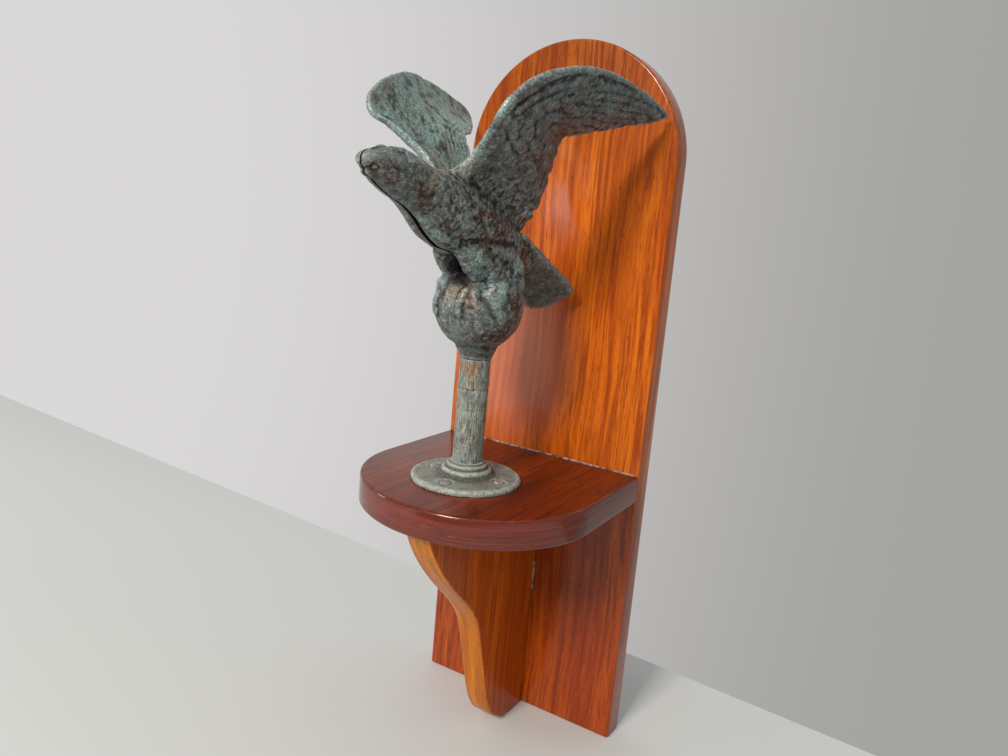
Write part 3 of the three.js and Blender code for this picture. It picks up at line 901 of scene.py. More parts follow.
# %% Legs
# Each leg as tubes: points (out, ahead, up) and sizes. The thigh slants down to the ball, the
# shank curves round behind it to the hind toe, and the last tube fills the hollow between.
# The right half also has a shoulder where the wing's front edge joins the neck.
SHOULDER = ([(2, 68, 486), (7, 60, 490), (13, 55, 497), (22, 58, 507)], [9, 8, 6.5, 4])
RIGHT_LEG = [
    SHOULDER,
    (
        [(12, 46, 450), (14, 41, 442), (14, 35, 433), (13, 28, 425), (12, 22, 416)],
        [11, 11.5, 10, 8.5, 7],
    ),
    (
        [(15, 26, 444), (19, 14, 441), (21, 1, 436), (22, -8, 428), (22, -13, 417), (21, -14, 406)],
        [12, 10.5, 9.5, 9, 8, 6],
    ),
    ([(21, -10, 410), (25, 2, 412), (22, 15, 412), (14, 24, 411)], [8, 8, 7.5, 6]),
    ([(14, 34, 438), (18, 22, 431), (19, 10, 426), (18, -2, 418)], [10, 10.5, 11, 10]),
]
LEFT_LEG = [
    (
        [(12, 36, 447), (13, 32, 440), (15, 23, 431), (15, 17, 423), (14, 14, 414)],
        [11, 11.5, 10.5, 9, 7],
    ),
    (
        [(16, 22, 443), (20, 6, 439), (22, -8, 432), (22, -16, 424), (20, -21, 412), (18, -22, 402)],
        [12, 11, 10.5, 9.5, 8, 6],
    ),
    ([(22, -16, 410), (27, 0, 412), (23.5, 16, 413), (14, 27, 413)], [8, 7, 6.5, 4]),
    ([(14, 26, 436), (18, 14, 430), (19, 4, 425), (18, -8, 417)], [10, 10.5, 11, 10]),
]
print(len(RIGHT_LEG), "and", len(LEFT_LEG), "tubes for the legs")

# %% [markdown]
# ## Marks on the skin
# Toes, folds, brow and feather rows are short strokes. They could be separate pieces, but a
# casting has them in one skin. Each is a line of points laid on that skin, with a width and a
# height, as a modeller adds a roll of wax or draws a groove.

# %% Strokes for toes, folds and brow
# Height (below zero cuts a groove), half width, then points (out, ahead, up). They follow the
# photograph, the left ones only where that half shows.
RIGHT_STROKES = [
    # Toes over the front of the ball, from the inner one outwards, and the knuckle over them.
    (1.4, 2.6, [(7.0, 33, 412), (5.2, 35.2, 406), (4.2, 36.6, 399), (4.0, 36.6, 393)]),
    (0.45, 3.4, [(13, 30.5, 412), (16, 32.2, 404), (18.2, 31.4, 393), (18.9, 26.7, 381)]),
    (2.2, 9.0, [(24, 18, 416), (26.5, 21, 409)]),
    (0.8, 5.0, [(27, 22, 408), (30, 20.5, 400), (32, 16.5, 392)]),
    (1.2, 6.0, [(27, -10, 416), (31, -9, 407), (33, -6, 398)]),
    # Grooves between them.
    (-0.25, 3.2, [(10.5, 31, 413), (10.5, 34.4, 405), (9.6, 35.8, 396)]),
    (-0.5, 3.0, [(20.5, 28.6, 406), (25, 26.3, 399), (29, 20.7, 391.6)]),
    # Folds above and below the thigh.
    (-1.2, 3.0, [(20, 60, 447), (27, 50, 448), (29, 36, 449), (28, 18, 449), (26, 4, 448)]),
    (-0.6, 1.1, [(12, 32, 419), (16, 31, 420), (20, 29, 420)]),
    (-0.8, 4.5, [(25, 14, 431), (26, 6, 428)]),
    # Edge of the breast along the seam.
    (0.9, 4.0, [(6, 98, 462), (10, 80, 452), (14, 62, 445)]),
]
LEFT_STROKES = [
    # Toes that show past the near ones: the inner one, the knuckle, and two round the side.
    (0.4, 4.0, [(5, 34, 412), (7, 37, 404), (8, 36.5, 396)]),
    (2.6, 4.0, [(21, 28.8, 405), (22.4, 28.6, 399), (21, 30, 392)]),
    (1.0, 5.0, [(28, 21, 412), (32, 17, 402), (33, 14, 392)]),
    (1.2, 6.0, [(27, -14, 412), (30, -18, 402), (28, -21, 392)]),
    # Groove between the toes, the brow over the beak, and the fold above the thigh.
    (-0.4, 3.4, [(12, 33, 414), (14, 34.5, 405), (14, 34, 395)]),
    (0.9, 3.0, [(2, 138, 502.5), (3, 132, 504.5), (4, 126, 505)]),
    (-1.8, 3.0, [(20, 54, 447), (27, 44, 448), (29, 28, 448), (28, 10, 448)]),
]
EYE, EYE_RING = np.array([6.5, 144.0, 491.3]), 2.6
EYE_AXES = np.array([-0.35, 0.93, 0.1]), np.array([0.75, 0.2, 0.63])
EYE_LOOP = [
    EYE + EYE_RING * (math.cos(turn) * EYE_AXES[0] + math.sin(turn) * EYE_AXES[1])
    for turn in np.linspace(0, 2 * math.pi, 9)
]
HEAD_STROKES = [
    # Brow tuft, eye with the ring round it, crease ahead of it, and cheek line.
    (1.2, 3.0, [(4, 129, 504), (6, 123, 505), (7, 116, 505)]),
    (-0.7, 2.8, [(2, 140.5, 502.5), (4, 137, 503)]),
    (-0.4, 0.9, EYE_LOOP),
    (0.06, 1.3, [EYE]),
    (-0.25, 2.0, [(4.5, 147.5, 490.6), (7, 146.4, 494.5)]),
    (0.7, 3.5, [(12.4, 133, 488), (14.5, 124, 485)]),
]


# %% Laying a stroke on the skin
STROKE_REACH = 12


def lay_stroke(points, normals, strokes):
    """Moves points along their normals under each stroke that is laid on the skin."""
    shift = np.zeros(len(points))
    for height, wide, line in strokes:
        dense = smooth_rows(line, 6 * len(line)) if len(line) > 1 else np.array(line, float)
        nearest = np.full(len(points), 1e9)
        for spot in dense:
            apart = np.linalg.norm(points - spot, axis=1)
            on_skin = points[int(np.argmin(apart))]
            if apart.min() < STROKE_REACH:
                nearest = np.minimum(nearest, np.sum((points - on_skin) ** 2, axis=1))
        shift += height * np.clip(1 - nearest / (1.3 * wide) ** 2, 0, 1) ** 1.6
    return points + normals * shift[:, None]


# %% Small feathers
def scatter_cells(points, size, seed):
    """Distance to the nearest of scattered seeds, over their spacing."""
    scaled = points / size
    cell = np.floor(scaled)
    near = np.full(len(points), 9.0)
    for corner in np.ndindex(3, 3, 3):
        spot = cell + np.array(corner) - 1
        place = spot + np.stack([lattice(spot, seed + k) for k in range(3)], axis=1)
        near = np.minimum(near, np.linalg.norm(scaled - place, axis=1))
    return near


def feather_relief(points):
    """Small lumpy feathers over body and thighs, worn soft and out of line."""
    out, ahead, up = points.T
    stretched = np.stack([out, (ahead - up) * 0.62, (ahead + up) * 0.85], axis=1)
    bent = stretched + 1.2 * noise(points, 9, 91)[:, None]
    lump = np.clip(1 - 1.3 * scatter_cells(bent, 6.2, 70) ** 2, 0, 1)
    crease = 1 - np.abs(noise(bent, 3.6, 33))
    return 0.75 * lump + 0.5 * crease**3 + 0.35 * noise(points, 5, 17) - 0.55


# %% [markdown]
# ## One casting
# The shells of a half are joined and remeshed. Creases are filled first, then the strokes and
# the lumpy feathers are raised, and the seam is cut last, so that both halves have a flat rim
# there. A gap is opened along the beak and the throat, where they don't quite meet.

# %% Measures of the casting
VOXEL, SEAM, SEAM_GAPE = 0.97, 0.25, 1.3


def to_frame(points, side):
    """The eagle's measure to metres in the frame. side is 1 for right, -1 for left."""
    out, ahead, up = points.T
    return np.stack([POST_X + side * out, POST_Y - ahead, up - HALF_HEIGHT], axis=1) * MM


def to_measure(points, side):
    """Metres in the frame to the eagle's measure."""
    x, y, z = (points / MM).T
    return np.stack([(x - POST_X) * side, POST_Y - y, z + HALF_HEIGHT], axis=1)


def rise_from(values, start, width):
    """Goes from 0 to 1 over the width that follows start. A width below 0 runs the other way."""
    return np.clip((values - start) / width, 0, 1)


# %% Neighbours on the skin
def mesh_edges(piece):
    edges = np.empty(len(piece.data.edges) * 2, np.int32)
    piece.data.edges.foreach_get("vertices", edges)
    return edges.reshape(-1, 2)


def neighbour_mean(values, edges):
    """Each point's mean over its neighbours."""
    a, b = edges[:, 0], edges[:, 1]
    count = np.bincount(edges.ravel(), minlength=len(values))
    total = [
        np.bincount(a, values[b, k], len(values)) + np.bincount(b, values[a, k], len(values))
        for k in range(values.shape[1])
    ]
    return np.stack(total, axis=1) / np.maximum(count, 1)[:, None]


# %% Filling creases
def all_low(out, ahead, up):
    """Where creases are filled a little: everywhere but on the wings."""
    return rise_from(out, 38, -8) * rise_from(up, 514, -8)


def wing_roots(out, ahead, up):
    """Where creases are filled until the wing flows into neck, back and flank."""
    beside = rise_from(out, 44, -12) * rise_from(up, 520, -12) * rise_from(up, 448, 8)
    return beside * rise_from(ahead, 98, -12) * rise_from(ahead, -34, 10)


def leg_hollows(out, ahead, up):
    """Where creases are filled between thigh, shank and ball."""
    beside = rise_from(out, 7, 5) * rise_from(out, 36, -5) * rise_from(ahead, -12, 8)
    return beside * rise_from(up, 444, -8) * rise_from(up, 402, 8)


def fill_creases(piece, side, rounds, where):
    """Moves points out where the skin is hollow, so that the shells flow into each other."""
    edges = mesh_edges(piece)
    for _ in range(rounds):
        points, normals = mesh_points(piece), mesh_normals(piece)
        share = where(*to_measure(points, side).T)
        for _ in range(5):
            pull = np.sum((neighbour_mean(points, edges) - points) * normals, axis=1)
            points = points + normals * (np.maximum(pull, 0) * share)[:, None]
        set_points(piece, points)


# %% Opening the seam
def open_seam(piece, side):
    """Draws the rim of the seam back along beak, throat and breast, where it gapes. The left
    casting hangs a little lower at the breast, and the ball's halves are pressed together."""
    points = to_measure(mesh_points(piece), side)
    out, ahead, up = points.T
    throat_line = [436, 446, 474, 481, 490, 510, 510]
    throat = np.interp(ahead, [20, 50, 100, 118, 138, 143, 151], throat_line)
    below = rise_from(up, throat, -6) * (up > 425)
    gape = SEAM_GAPE * np.interp(ahead, [22, 36, 134, 142], [0, 0.9, 0.9, 0.3])
    shut = (SEAM - 0.02) * rise_from(up, 430, -5) * rise_from(ahead, -42, 5)
    points[:, 0] += (gape * below - shut) * (1 - rise_from(out, SEAM, 3))
    if side < 0:
        hang = [0, -0.9, -0.8, 0.1, 0.5, 0.5, 0]
        step = np.interp(ahead, [46, 66, 84, 104, 118, 136, 142], hang)
        points[:, 2] += step * below * np.clip(1.6 - out / 12, 0, 1)
    set_points(piece, to_frame(points, side))


# %% Casting one half
SKIN_WEAR = [(11, 0.4), (4.6, 0.2), (2.6, 0.16)]


def join_shells(name, side, shells):
    """One object from closed shells that still cut through each other."""
    points, faces = [], []
    for shell_points, shell_faces in shells:
        start = sum(len(rows) for rows in points)
        points.append(shell_points)
        for face in shell_faces:
            faces.append([i + start for i in (face if side > 0 else face[::-1])])
    mesh = bpy.data.meshes.new(name)
    mesh.from_pydata(to_frame(np.vstack(points), side).tolist(), [], faces)
    piece = bpy.data.objects.new(name, mesh)
    bpy.context.scene.collection.objects.link(piece)
    return piece


def feather_cover(points, normals):
    """How much of the small feathers each point has: none on tail, beak and inner wing."""
    out, ahead, up = points.T
    on_ball = rise_from(up, 424, -8)
    on_tail = rise_from(ahead, -30, -8) * (up < 470)
    on_wing = 0.65 * rise_from(up, 488, 10) * rise_from(out, 14, 8)
    inner = np.clip(-2 * normals[:, 0], 0, 1) * rise_from(up, 480, 10)
    neck = np.interp(ahead, [60, 90, 120, 138, 146], [1, 0.65, 0.4, 0.15, 0.05])
    bare = (1 - 0.7 * on_ball) * (1 - on_tail) * (1 - on_wing) * (1 - inner)
    return bare * neck * rise_from(out, 0, 4)


def cast_half(name, side, drop, worn, leg, strokes):
    """One half of the eagle as one closed skin."""
    shells = [wing_shell(drop, worn), body_shell(), jaw_shell(), tail_shell(), ball_shell()]
    half = join_shells(name, side, shells + [tube(*part) for part in leg])
    apply_modifier(half, "REMESH", mode="VOXEL", voxel_size=VOXEL * MM)
    for rounds, where in ((6, all_low), (50, wing_roots), (22, leg_hollows)):
        fill_creases(half, side, rounds, where)
    flip = np.array([side, -1, 1])
    points, normals = to_measure(mesh_points(half), side), mesh_normals(half) * flip
    points = lay_stroke(points, normals, strokes + HEAD_STROKES)
    set_points(half, to_frame(points, side))
    normals = mesh_normals(half) * flip
    relief = feather_relief(points) * feather_cover(points, normals)
    set_points(half, to_frame(points + normals * relief[:, None], side))
    weather(half, SKIN_WEAR, 3, 1 - 0.7 * rise_from(points[:, 1], 118, 20))
    cut(half, ((POST_X + side * SEAM) * MM, 0, 0), (side, 0, 0), fill=True)
    open_seam(half, side)
    bpy.ops.object.shade_smooth()
    print(name, len(half.data.vertices), "points", len(half.data.polygons), "faces")
    return half


# %% Both halves
RIGHT = {"side": 1, "drop": 0, "worn": 1.0, "leg": RIGHT_LEG, "strokes": RIGHT_STROKES}
LEFT = {"side": -1, "drop": 6, "worn": 0.5, "leg": LEFT_LEG, "strokes": LEFT_STROKES}
right_half = cast_half("eagle_right_casting", **RIGHT)
left_half = cast_half("eagle_left_casting", **LEFT)

# %% [markdown]
# ## Patina
# Outdoor copper alloy goes through brown and black to blue-green. Raised parts are rubbed
# pale, hollows keep dark dirt, and verdigris lies in patches. The hollows could be found by
# the renderer, but an exported model loses that. Here they are measured from the finished
# skin, and the patches are laid as soft spots on it, so both are kept as attributes of the
# mesh that the material reads. The same attributes carry painted shade in the gap between
# the legs and painted light on the wings' inner faces.

# %% Stains on the skin
# Soft spots (out, ahead, up, radius) where each colour gathers on the right half.
TEAL_SPOTS = [
    (30, 20, 414, 15), (33, -4, 432, 14), (24, 48, 436, 12), (12, 78, 450, 12), (6, 96, 460, 8),
    (50, 84, 536, 16), (36, 72, 522, 14), (24, 62, 508, 10), (30, -12, 470, 10), (30, -30, 452, 10),
    (8, 112, 496, 9), (12, 92, 486, 9), (34, -16, 420, 10),
]
BROWN_SPOTS = [
    (30, 46, 460, 20), (29, 28, 458, 14), (8, 144, 492, 9), (12, 132, 486, 11), (16, 112, 480, 12),
    (18, 100, 472, 10), (34, 2, 400, 14), (30, 10, 378, 16), (22, 20, 372, 16), (22, 78, 456, 10),
    (14, 33, 404, 6), (27, -20, 440, 12), (46, 76, 530, 8), (60, 70, 545, 10),
]
LEFT_BROWN_SPOTS = [
    (4, 70, 444, 14), (4, 86, 456, 12), (4, 104, 468, 9), (14, 30, 436, 14), (3, 149, 494, 7),
]
OCHRE_SPOTS = [
    (10, 74, 494, 12), (14, 66, 500, 9), (8, 88, 492, 8), (22, 60, 502, 8), (20, 96, 484, 8),
    (10, 30, 415, 7), (8, 34, 404, 8), (15, 84, 470, 8), (3, 33, 412, 10), (20, 84, 478, 9),
    (12, 104, 494, 9), (26, 44, 446, 8), (24, 30, 446, 8), (30, -4, 384, 14),
]
LEFT_OCHRE_SPOTS = [(56, 84, 532, 11), (63, 78, 546, 11), (68, 58, 558, 10), (10, 62, 492, 10)]
# Painted shade: spots where the gap between the thighs and over the ball is darkened.
LEG_GAP_SHADE_SPOTS = [(3, 34, 434, 16), (3, 28, 424, 15), (5, 24, 419, 9)]


def spot_weight(points, spots):
    """How strongly the spots cover each point, 0 to 1."""
    bare = np.ones(len(points))
    for out, ahead, up, radius in spots:
        apart = np.sum((points - np.array([out, ahead, up])) ** 2, axis=1)
        bare *= 1 - 0.9 * np.exp(-apart / (0.75 * radius) ** 2)
    return 1 - bare


def set_attribute(piece, name, values):
    attribute = piece.data.attributes.new(name, "FLOAT", "POINT")
    attribute.data.foreach_set("value", values.astype(np.float32))


def height_over(piece, rounds):
    """How far each point stands above the skin averaged around it, in mm."""
    edges = mesh_edges(piece)
    points = mesh_points(piece)
    smooth = points
    for _ in range(rounds):
        smooth = neighbour_mean(smooth, edges)
    return np.sum((points - smooth) * mesh_normals(piece), axis=1) / MM


# %% Hollows and stains
def stain_half(half, side, brown_spots, ochre_spots):
    """Measures the skin, and stores what the patina reads: raised, with painted shade between
    the legs, teal, with painted light on the wings' inner faces, brown and ochre.
    """
    points, outward = to_measure(mesh_points(half), side), mesh_normals(half)[:, 0] * side
    out, ahead, up = points.T
    raised = 0.5 + 1.7 * height_over(half, 3) + 0.7 * height_over(half, 14)
    seam_face = (outward < -0.8) & (out < SEAM + SEAM_GAPE + 0.3)
    # Painted shade between the legs: the raised value is cleared there, so the dirt tone darkens the
    # gap.
    shade_between_legs = spot_weight(points, LEG_GAP_SHADE_SPOTS) * (out < 13)
    raised = np.where(seam_face, 0, raised * (1 - shade_between_legs))
    # Painted light with teal: the wings' inner faces get teal and lose brown, lightening faces that lie
    # in shade, besides the teal they carry.
    inner_wing_teal_and_light = rise_from(up, 486, 14) * np.clip(-2 * outward, 0, 1) * (out > 5)
    brown = spot_weight(points, brown_spots)
    if side < 0:
        brown = brown * np.where(up < 480, 1.5, 1)
    set_attribute(half, "raised", np.clip(raised, 0, 1))
    set_attribute(half, "teal", np.maximum(spot_weight(points, TEAL_SPOTS), inner_wing_teal_and_light))
    set_attribute(half, "brown", brown - 0.7 * inner_wing_teal_and_light)
    set_attribute(half, "ochre", spot_weight(points, ochre_spots))
    print(half.name, "hollow share", round(float(np.mean(raised < 0.3)), 2))


stain_half(right_half, 1, BROWN_SPOTS, OCHRE_SPOTS)
stain_half(left_half, -1, BROWN_SPOTS + LEFT_BROWN_SPOTS, OCHRE_SPOTS + LEFT_OCHRE_SPOTS)


# %% Patina material
# How much of each stain lies everywhere, outside its own spots.
SPREAD = 0.16


def patina_metal(name, tones, stains, rough, metallic, grit, drawn=False):
    """Aged copper alloy. The tones are two for the ground, one for dirt and one for rubbed
    places. stains are (attribute, tone, strength) laid over the ground, and grit is how dark
    and how pale the fine grains are. drawn adds the upright scratches of a pipe."""
    material, tree = new_material(name)
    place = add_node(tree, "TexCoord", out="Object")
    ground, second, dirt, rubbed = tones

    def patches(size_mm, detail, offset):
        """Noise with patches of the given size, laid at its own place."""
        moved = {"Vector": place, "Location": (offset, -offset, offset)}
        scale = 1 / (size_mm * MM)
        field = {"Vector": add_node(tree, "Mapping", moved), "Scale": scale, "Detail": detail}
        return add_node(tree, "TexNoise", {**field, "Roughness": 0.6})

    tone = lay_tone(tree, ground, second, patches(11, 5, 0.3), 0.4, 0.6)
    for i, (attribute, stain, strength) in enumerate(stains):
        weight = add_node(tree, "Attribute", out="Fac", attribute_name=attribute)
        amount = {0: weight, 1: strength, 2: SPREAD * strength}
        most = add_node(tree, "Math", amount, operation="MULTIPLY_ADD")
        tone = lay_tone(tree, tone, stain, patches(12, 4, 1.7 + i), 0.38, 0.56, most)
    raised = add_node(tree, "Attribute", out="Fac", attribute_name="raised")
    span = {"Value": raised, "From Min": 0.56, "From Max": 0.95, "To Max": 0.7}
    worn = add_node(tree, "MapRange", span)
    tone = lay_tone(tree, tone, rubbed, patches(3, 3, 5.1), 0.3, 0.6, worn)
    # Hollows take the dirt tone; between the legs this dark tone is painted shade.
    tone = lay_tone(tree, tone, dirt, raised, 0.5, 0.12, 0.85)
    tone = lay_tone(tree, tone, dirt, patches(1.6, 3, 8.3), 0.6, 0.72, 0.7)
    if drawn:
        # Scratches about 0.9 mm wide and ten times as long, coarser than real to show at all.
        scale = (1 / (0.909 * MM), 1 / (0.909 * MM), 1 / (9.09 * MM))
        laid = add_node(tree, "Mapping", {"Vector": place, "Scale": scale})
        lines = add_node(tree, "TexNoise", {"Vector": laid, "Scale": 1.0, "Detail": 3.0})
        tone = lay_tone(tree, tone, dirt, lines, 0.52, 0.64, 0.75)
        tone = lay_tone(tree, tone, rubbed, lines, 0.44, 0.34, 0.6)
    tone = lay_tone(tree, tone, rubbed, patches(1.4, 2, 12.9), 0.64, 0.74, 0.6)
    fine = {"Vector": place, "Scale": 1 / (1.3 * MM), "Detail": 4.0, "Roughness": 0.6}
    grains = add_node(tree, "TexNoise", fine)
    bump = add_node(tree, "Bump", {"Height": grains, "Strength": 0.9, "Distance": 0.25 * MM})
    span = {"From Min": 0.34, "From Max": 0.66, "To Min": grit[0], "To Max": grit[1]}
    shade = {0: 1.0, 6: tone, 7: add_node(tree, "MapRange", {"Value": grains, **span})}
    tone = add_node(tree, "Mix", shade, 2, data_type="RGBA", blend_type="MULTIPLY")
    span = {"From Min": 0.35, "From Max": 0.65, "To Min": rough - 0.12, "To Max": rough + 0.1}
    gloss = add_node(tree, "MapRange", {"Value": patches(6, 3, 21.0), **span})
    surface = {"Base Color": tone, "Metallic": metallic, "Roughness": gloss, "Normal": bump}
    finish_material(tree, surface)
    return material


# %% The metal finishes
# The eagle is blue-black with teal, ochre and brown, half dull and half shining. The pipe and
# the flange are a paler grey-green and duller, so the post reads as a newer piece.
EAGLE_TONES = ("#3b3f42", "#5b6466", "#121011", "#929c9a")
EAGLE_STAINS = [("teal", "#8ba9a4", 1.5), ("ochre", "#7d745c", 1.1), ("brown", "#493329", 1.6)]
POST_TONES = ("#868f87", "#6a736c", "#3d3c34", "#b2b8ae")
RUST = [("brown", "#83603e", 1.2)]
eagle_metal = patina_metal(
    "cast copper alloy, outdoor patina, eagle", EAGLE_TONES, EAGLE_STAINS, 0.5, 0.3, (0.42, 1.7)
)
post_metal = patina_metal(
    "drawn copper alloy pipe, grey-green patina", POST_TONES, RUST, 0.6, 0.1, (0.68, 1.35), True
)
flange_metal = patina_metal(
    "cast copper alloy, grey-green patina", POST_TONES, RUST, 0.6, 0.1, (0.62, 1.4)
)
# The faces that look into the seam are near black, so the joint shows as a black line.
seam_black_finish = patchy_finish(
    "raw casting edge, near black", 4, 3.0, [(0.35, "#0a0808"), (0.65, "#1c1513")],
    {"Roughness": 0.85, "Specular IOR Level": 0.1},
)


# %% Finishing the halves
def finish_half(half, side, node):
    """Patina all over, and a near-black finish on the faces that look into the seam."""
    edge = (SEAM + SEAM_GAPE + 0.5) * MM
    attach(half, eagle_metal, node)

    def in_seam(centre, normal):
        return normal.x * side < -0.8 and (centre.x - POST_X * MM) * side < edge

    face_finish(half, seam_black_finish, in_seam)


finish_half(right_half, 1, "eagle_right_half")
finish_half(left_half, -1, "eagle_left_half")

# %% [markdown]
# ## Post, flange and screws
# A pipe stands in a cast floor flange with a stepped hub. Both are turned shapes. A spun
# outline would do, but a disc extruded up through rings of changing radius keeps its faces
# even. The rings lie about a millimetre apart, fine enough for the pits that weather has
# eaten into the metal.

# %% Turned pieces
POST_RADIUS = 12.4
SHELF_UP = SHELF_TOP / MM + HALF_HEIGHT


def fine_rings(profile, step):
    """The profile's (radius, height) points with more between them, about step apart."""
    rings = [profile[0]]
    for (r0, h0), (r1, h1) in zip(profile, profile[1:]):
        count = max(1, round(math.hypot(r1 - r0, h1 - h0) / step))
        rings += [(r0 + (r1 - r0) * i / count, h0 + (h1 - h0) * i / count) for i in range(1, count + 1)]
    return rings


def turned(name, rings, around, out=0.0, ahead=0.0):
    """A disc extruded up through rings of (radius, height), in the eagle's measure."""
    start_clean()
    x, y = (POST_X + out) * MM, (POST_Y - ahead) * MM
    radius, foot = rings[0]
    bpy.ops.mesh.primitive_circle_add(
        vertices=around, radius=radius * MM, fill_type="NGON", location=(x, y, foot * MM + BOARD_FOOT)
    )
    piece = bpy.context.object
    bpy.ops.object.mode_set(mode="EDIT")
    for (old, low), (new, high) in zip(rings, rings[1:]):
        grow = new / old
        bpy.ops.mesh.extrude_region_move(TRANSFORM_OT_translate={"value": (0, 0, (high - low) * MM)})
        centre = (x, y, high * MM + BOARD_FOOT)
        bpy.ops.transform.resize(value=(grow, grow, 1), center_override=centre)
    bpy.ops.object.mode_set(mode="OBJECT")
    return settle(piece, name, 60)


# %% Wear of turned pieces
def eat_pits(piece, size, depth, seed, where=1.0):
    """Sinks scattered pits of the given size and depth in mm."""
    points, normals = mesh_points(piece), mesh_normals(piece)
    pit = np.clip((noise(points / MM, size, seed) - 0.25) / 0.4, 0, 1) * where
    set_points(piece, points - normals * (depth * pit)[:, None] * MM)


def mark_metal(piece, rust_spots):
    """Height over the surroundings and rust spots, as attributes for the patina."""
    raised = 0.5 + 1.5 * height_over(piece, 3) + 0.5 * height_over(piece, 12)
    set_attribute(piece, "raised", np.clip(raised, 0, 1))
    set_attribute(piece, "brown", spot_weight(to_measure(mesh_points(piece), 1), rust_spots))


# %% Post
# Two shallow rings were cut round the pipe, and a rust stain runs down under the socket.
POST_CUTS = [(314, 0.2), (331, 0.3)]
POST_RUST = [(7, 11, 350, 8), (3, 12, 346, 6), (9, 8, 345, 5), (-6, 10, 349, 5), (5, 11, 336, 4)]
post_rings = []
for up in np.arange(SHELF_UP + 16.4, 355.2, 0.9):
    dip = sum(depth * math.exp(-(((up - level) / 0.9) ** 2)) for level, depth in POST_CUTS)
    post_rings.append((POST_RADIUS - dip, float(up)))
post = turned("post_pipe", post_rings, 110)
weather(post, [(14, 0.15), (3.2, 0.08), (1.9, 0.05)], 50)
eat_pits(post, 2.6, 0.18, 57)
mark_metal(post, POST_RUST)
attach(post, post_metal, "post")

# %% Flange
FLANGE_PROFILE = [
    (45, 0.3), (45.3, 2.2), (44.6, 3.6), (43.2, 4.3), (27, 4.9), (23.5, 5.6), (21, 7.5), (20.2, 10.0),
    (19, 10.9), (17, 11.6), (16.5, 13.9), (15.6, 14.6), (14.2, 15.4), (13.9, 16.2), (13.2, 16.4),
]
SCREW_CIRCLE, SCREW_HEAD, FIRST_SCREW = 31, 4.6, 2
SCREW_SPOTS = []
for turn in np.radians([FIRST_SCREW + 90 * k for k in range(4)]):
    SCREW_SPOTS.append((SCREW_CIRCLE * math.cos(turn), -SCREW_CIRCLE * math.sin(turn)))

flange_rings = [(radius, SHELF_UP + h) for radius, h in fine_rings(FLANGE_PROFILE, 1.1)]
flange = turned("floor_flange_casting", flange_rings, 220)
points = to_measure(mesh_points(flange), 1)
for out, ahead in SCREW_SPOTS:
    apart = np.hypot(points[:, 0] - out, points[:, 1] - ahead)
    points[:, 2] -= rise_from(apart, SCREW_HEAD + 1.2, -0.9) * (points[:, 2] > SHELF_UP + 3)
set_points(flange, to_frame(points, 1))
weather(flange, [(12, 0.3), (4.0, 0.1), (2.4, 0.06)], 60)
out, ahead, up = to_measure(mesh_points(flange), 1).T
eat_pits(flange, 3.0, 0.4, 66, np.clip((np.hypot(out, ahead) - 38) / 6, 0.15, 1))
mark_metal(flange, [(out, ahead, SHELF_UP + 5, 5) for out, ahead in SCREW_SPOTS])
attach(flange, flange_metal, "floor_flange")

# %% Flange screws
# One oval head is turned, and a cutter leaves its slot. Each slot stands at its own angle.
HEAD_PROFILE = [(4.3, 0), (4.4, 0.4), (3.9, 0.75), (2.8, 1.05), (1.4, 1.2), (0.5, 1.23)]
SLOT_TURNS, SLOT_SIZE, SLOT_UP = (20, 75, -40, 55), (12, 1.1, 1.2), 5.1
for k, (out, ahead) in enumerate(SCREW_SPOTS):
    rings = [(radius, SHELF_UP + 3.9 + h) for radius, h in HEAD_PROFILE]
    screw = turned(f"flange_screw_head_{k + 1}", rings, 30, out, ahead)
    start_clean()
    spot = ((POST_X + out) * MM, (POST_Y - ahead) * MM, SHELF_TOP + SLOT_UP * MM)
    turn = (0, 0, math.radians(SLOT_TURNS[k]))
    bpy.ops.mesh.primitive_cube_add(size=1, location=spot, rotation=turn)
    cutter = bpy.context.object
    cutter.scale = Vector(SLOT_SIZE) * MM
    bpy.ops.object.transform_apply(location=True, rotation=True, scale=True)
    apply_modifier(screw, "BOOLEAN", operation="DIFFERENCE", object=cutter)
    bpy.data.objects.remove(cutter)
    weather(screw, [(2.5, 0.08)], 80 + k)
    mark_metal(screw, [(out, ahead, SHELF_UP + 5, 8)])
    attach(screw, flange_metal, f"flange_screw_{k + 1}")

# %% [markdown]
# ## Squeezed-out glue
# A pale line of old glue shows where the shelf meets the board, and a drip beside the corbel.
# Painted on the wood they would have no edge, so each is a thin bead along a curve with a
# changing width, made a mesh.

# %% Glue material and painted joint shadow
# Wood glue dries to dull beads with pale dust on them. The near-black finish is painted shadow for the
# gap behind the corbel.
glue_dry = patchy_finish(
    "dried wood glue, dusty", 5, 4.0, [(0.4, "#4a2d20"), (0.5, "#8a7164"), (0.64, "#a3928a")],
    {"Roughness": 0.55},
)
joint_shadow_finish = patchy_finish(
    "near-black finish, painted shadow in the corbel joint", 6, 3.0, [(0.4, "#1c0d08"), (0.62, "#3a2116")], {"Roughness": 0.6}
)


# %% Glue beads
BEAD_RADIUS = 1.0


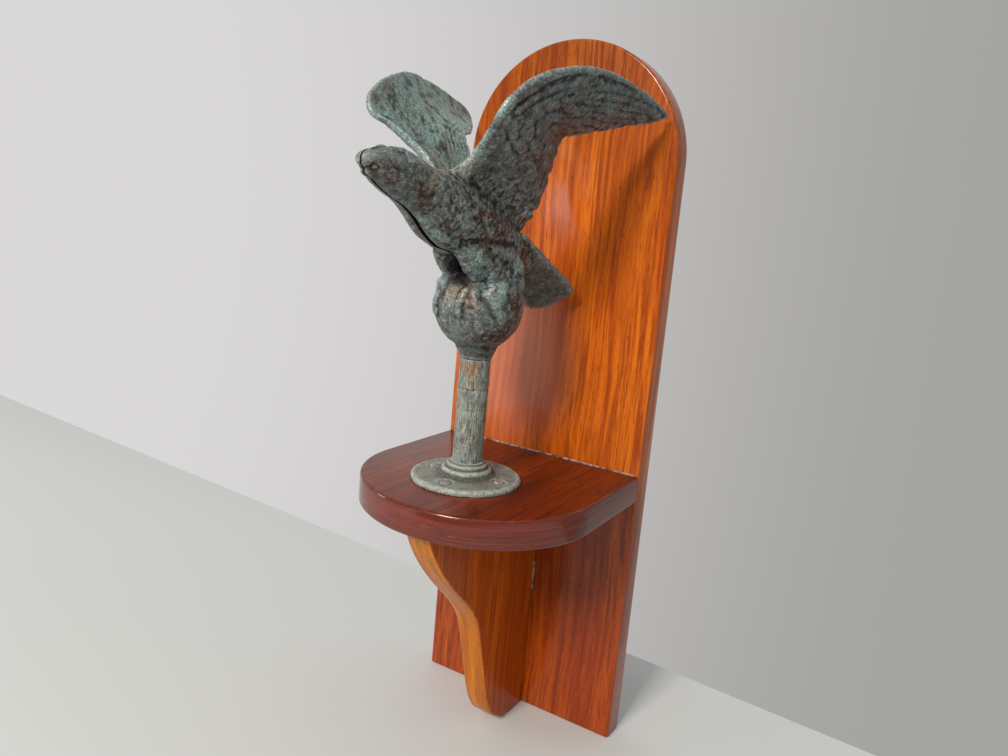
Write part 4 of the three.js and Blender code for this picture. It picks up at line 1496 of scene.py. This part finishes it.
def bead(name, start, end, count, seed):
    """A thin uneven bead from start to end, in mm."""
    start_clean()
    bpy.ops.curve.primitive_bezier_curve_add()
    piece = bpy.context.object
    line = piece.data
    line.bevel_depth = BEAD_RADIUS * MM
    line.bevel_resolution = 2
    line.resolution_u = 4
    line.use_fill_caps = True
    points = line.splines[0].bezier_points
    points.add(count - 2)
    places = np.linspace(start, end, count)
    widths = 1 + 0.55 * noise(places, 7, seed) + 0.25 * noise(places, 3, seed + 1)
    for point, place, width in zip(points, places, widths):
        point.co = Vector(place) * MM
        point.handle_left_type = point.handle_right_type = "AUTO"
        point.radius = max(0.2, width)
    bpy.ops.object.convert(target="MESH")
    settle(piece, name, 60)
    attach(piece, glue_dry)


joint_y, line_z = JOINT_Y / MM + 0.1, SHELF_TOP / MM + 0.2
drip_x, drip_y = CORBEL_X + 11.5, joint_y - 0.9
bead("glue_line_shelf", (-96, joint_y, line_z), (98, joint_y, line_z), 90, 5)
bead("glue_drip_corbel", (drip_x + 0.1, drip_y, -165), (drip_x - 0.1, drip_y, -196), 11, 9)

# %% Painted shadow in the corbel's joint
# The corbel stands a little off the board. A near-black bed fills the gap as painted shadow, so that
# the joint shows as a dark line.
# The bed keeps inside the corbel's sides, foot and head by these lengths.
BED_SIDE, BED_LOW, BED_HIGH = 2.5, 0.4, 0.8
bed_foot, bed_head = BOARD_FOOT + BED_LOW * MM, SHELF_TOP - SHELF_THICK - BED_HIGH * MM
bed_y = -BOARD_THICK - (CORBEL_GAP + 0.3) / 2 * MM
start_clean()
bpy.ops.mesh.primitive_cube_add(size=1, location=(CORBEL_X * MM, bed_y, (bed_foot + bed_head) / 2))
bed = bpy.context.object
bed.scale = ((CORBEL_THICK - 2 * BED_SIDE) * MM, (CORBEL_GAP + 0.1) * MM, bed_head - bed_foot)
bpy.ops.object.transform_apply(location=True, rotation=True, scale=True)
bpy.ops.object.mode_set(mode="EDIT")
bpy.ops.mesh.select_all(action="SELECT")
bpy.ops.mesh.subdivide(number_cuts=30)
bpy.ops.object.mode_set(mode="OBJECT")
points = mesh_points(bed)
points[:, 0] += 1.2 * MM * noise(points / MM, 9, 97) * np.sign(points[:, 0] - CORBEL_X * MM)
set_points(bed, points)
settle(bed, "corbel_joint_shadow_sheet", 60)
attach(bed, joint_shadow_finish)
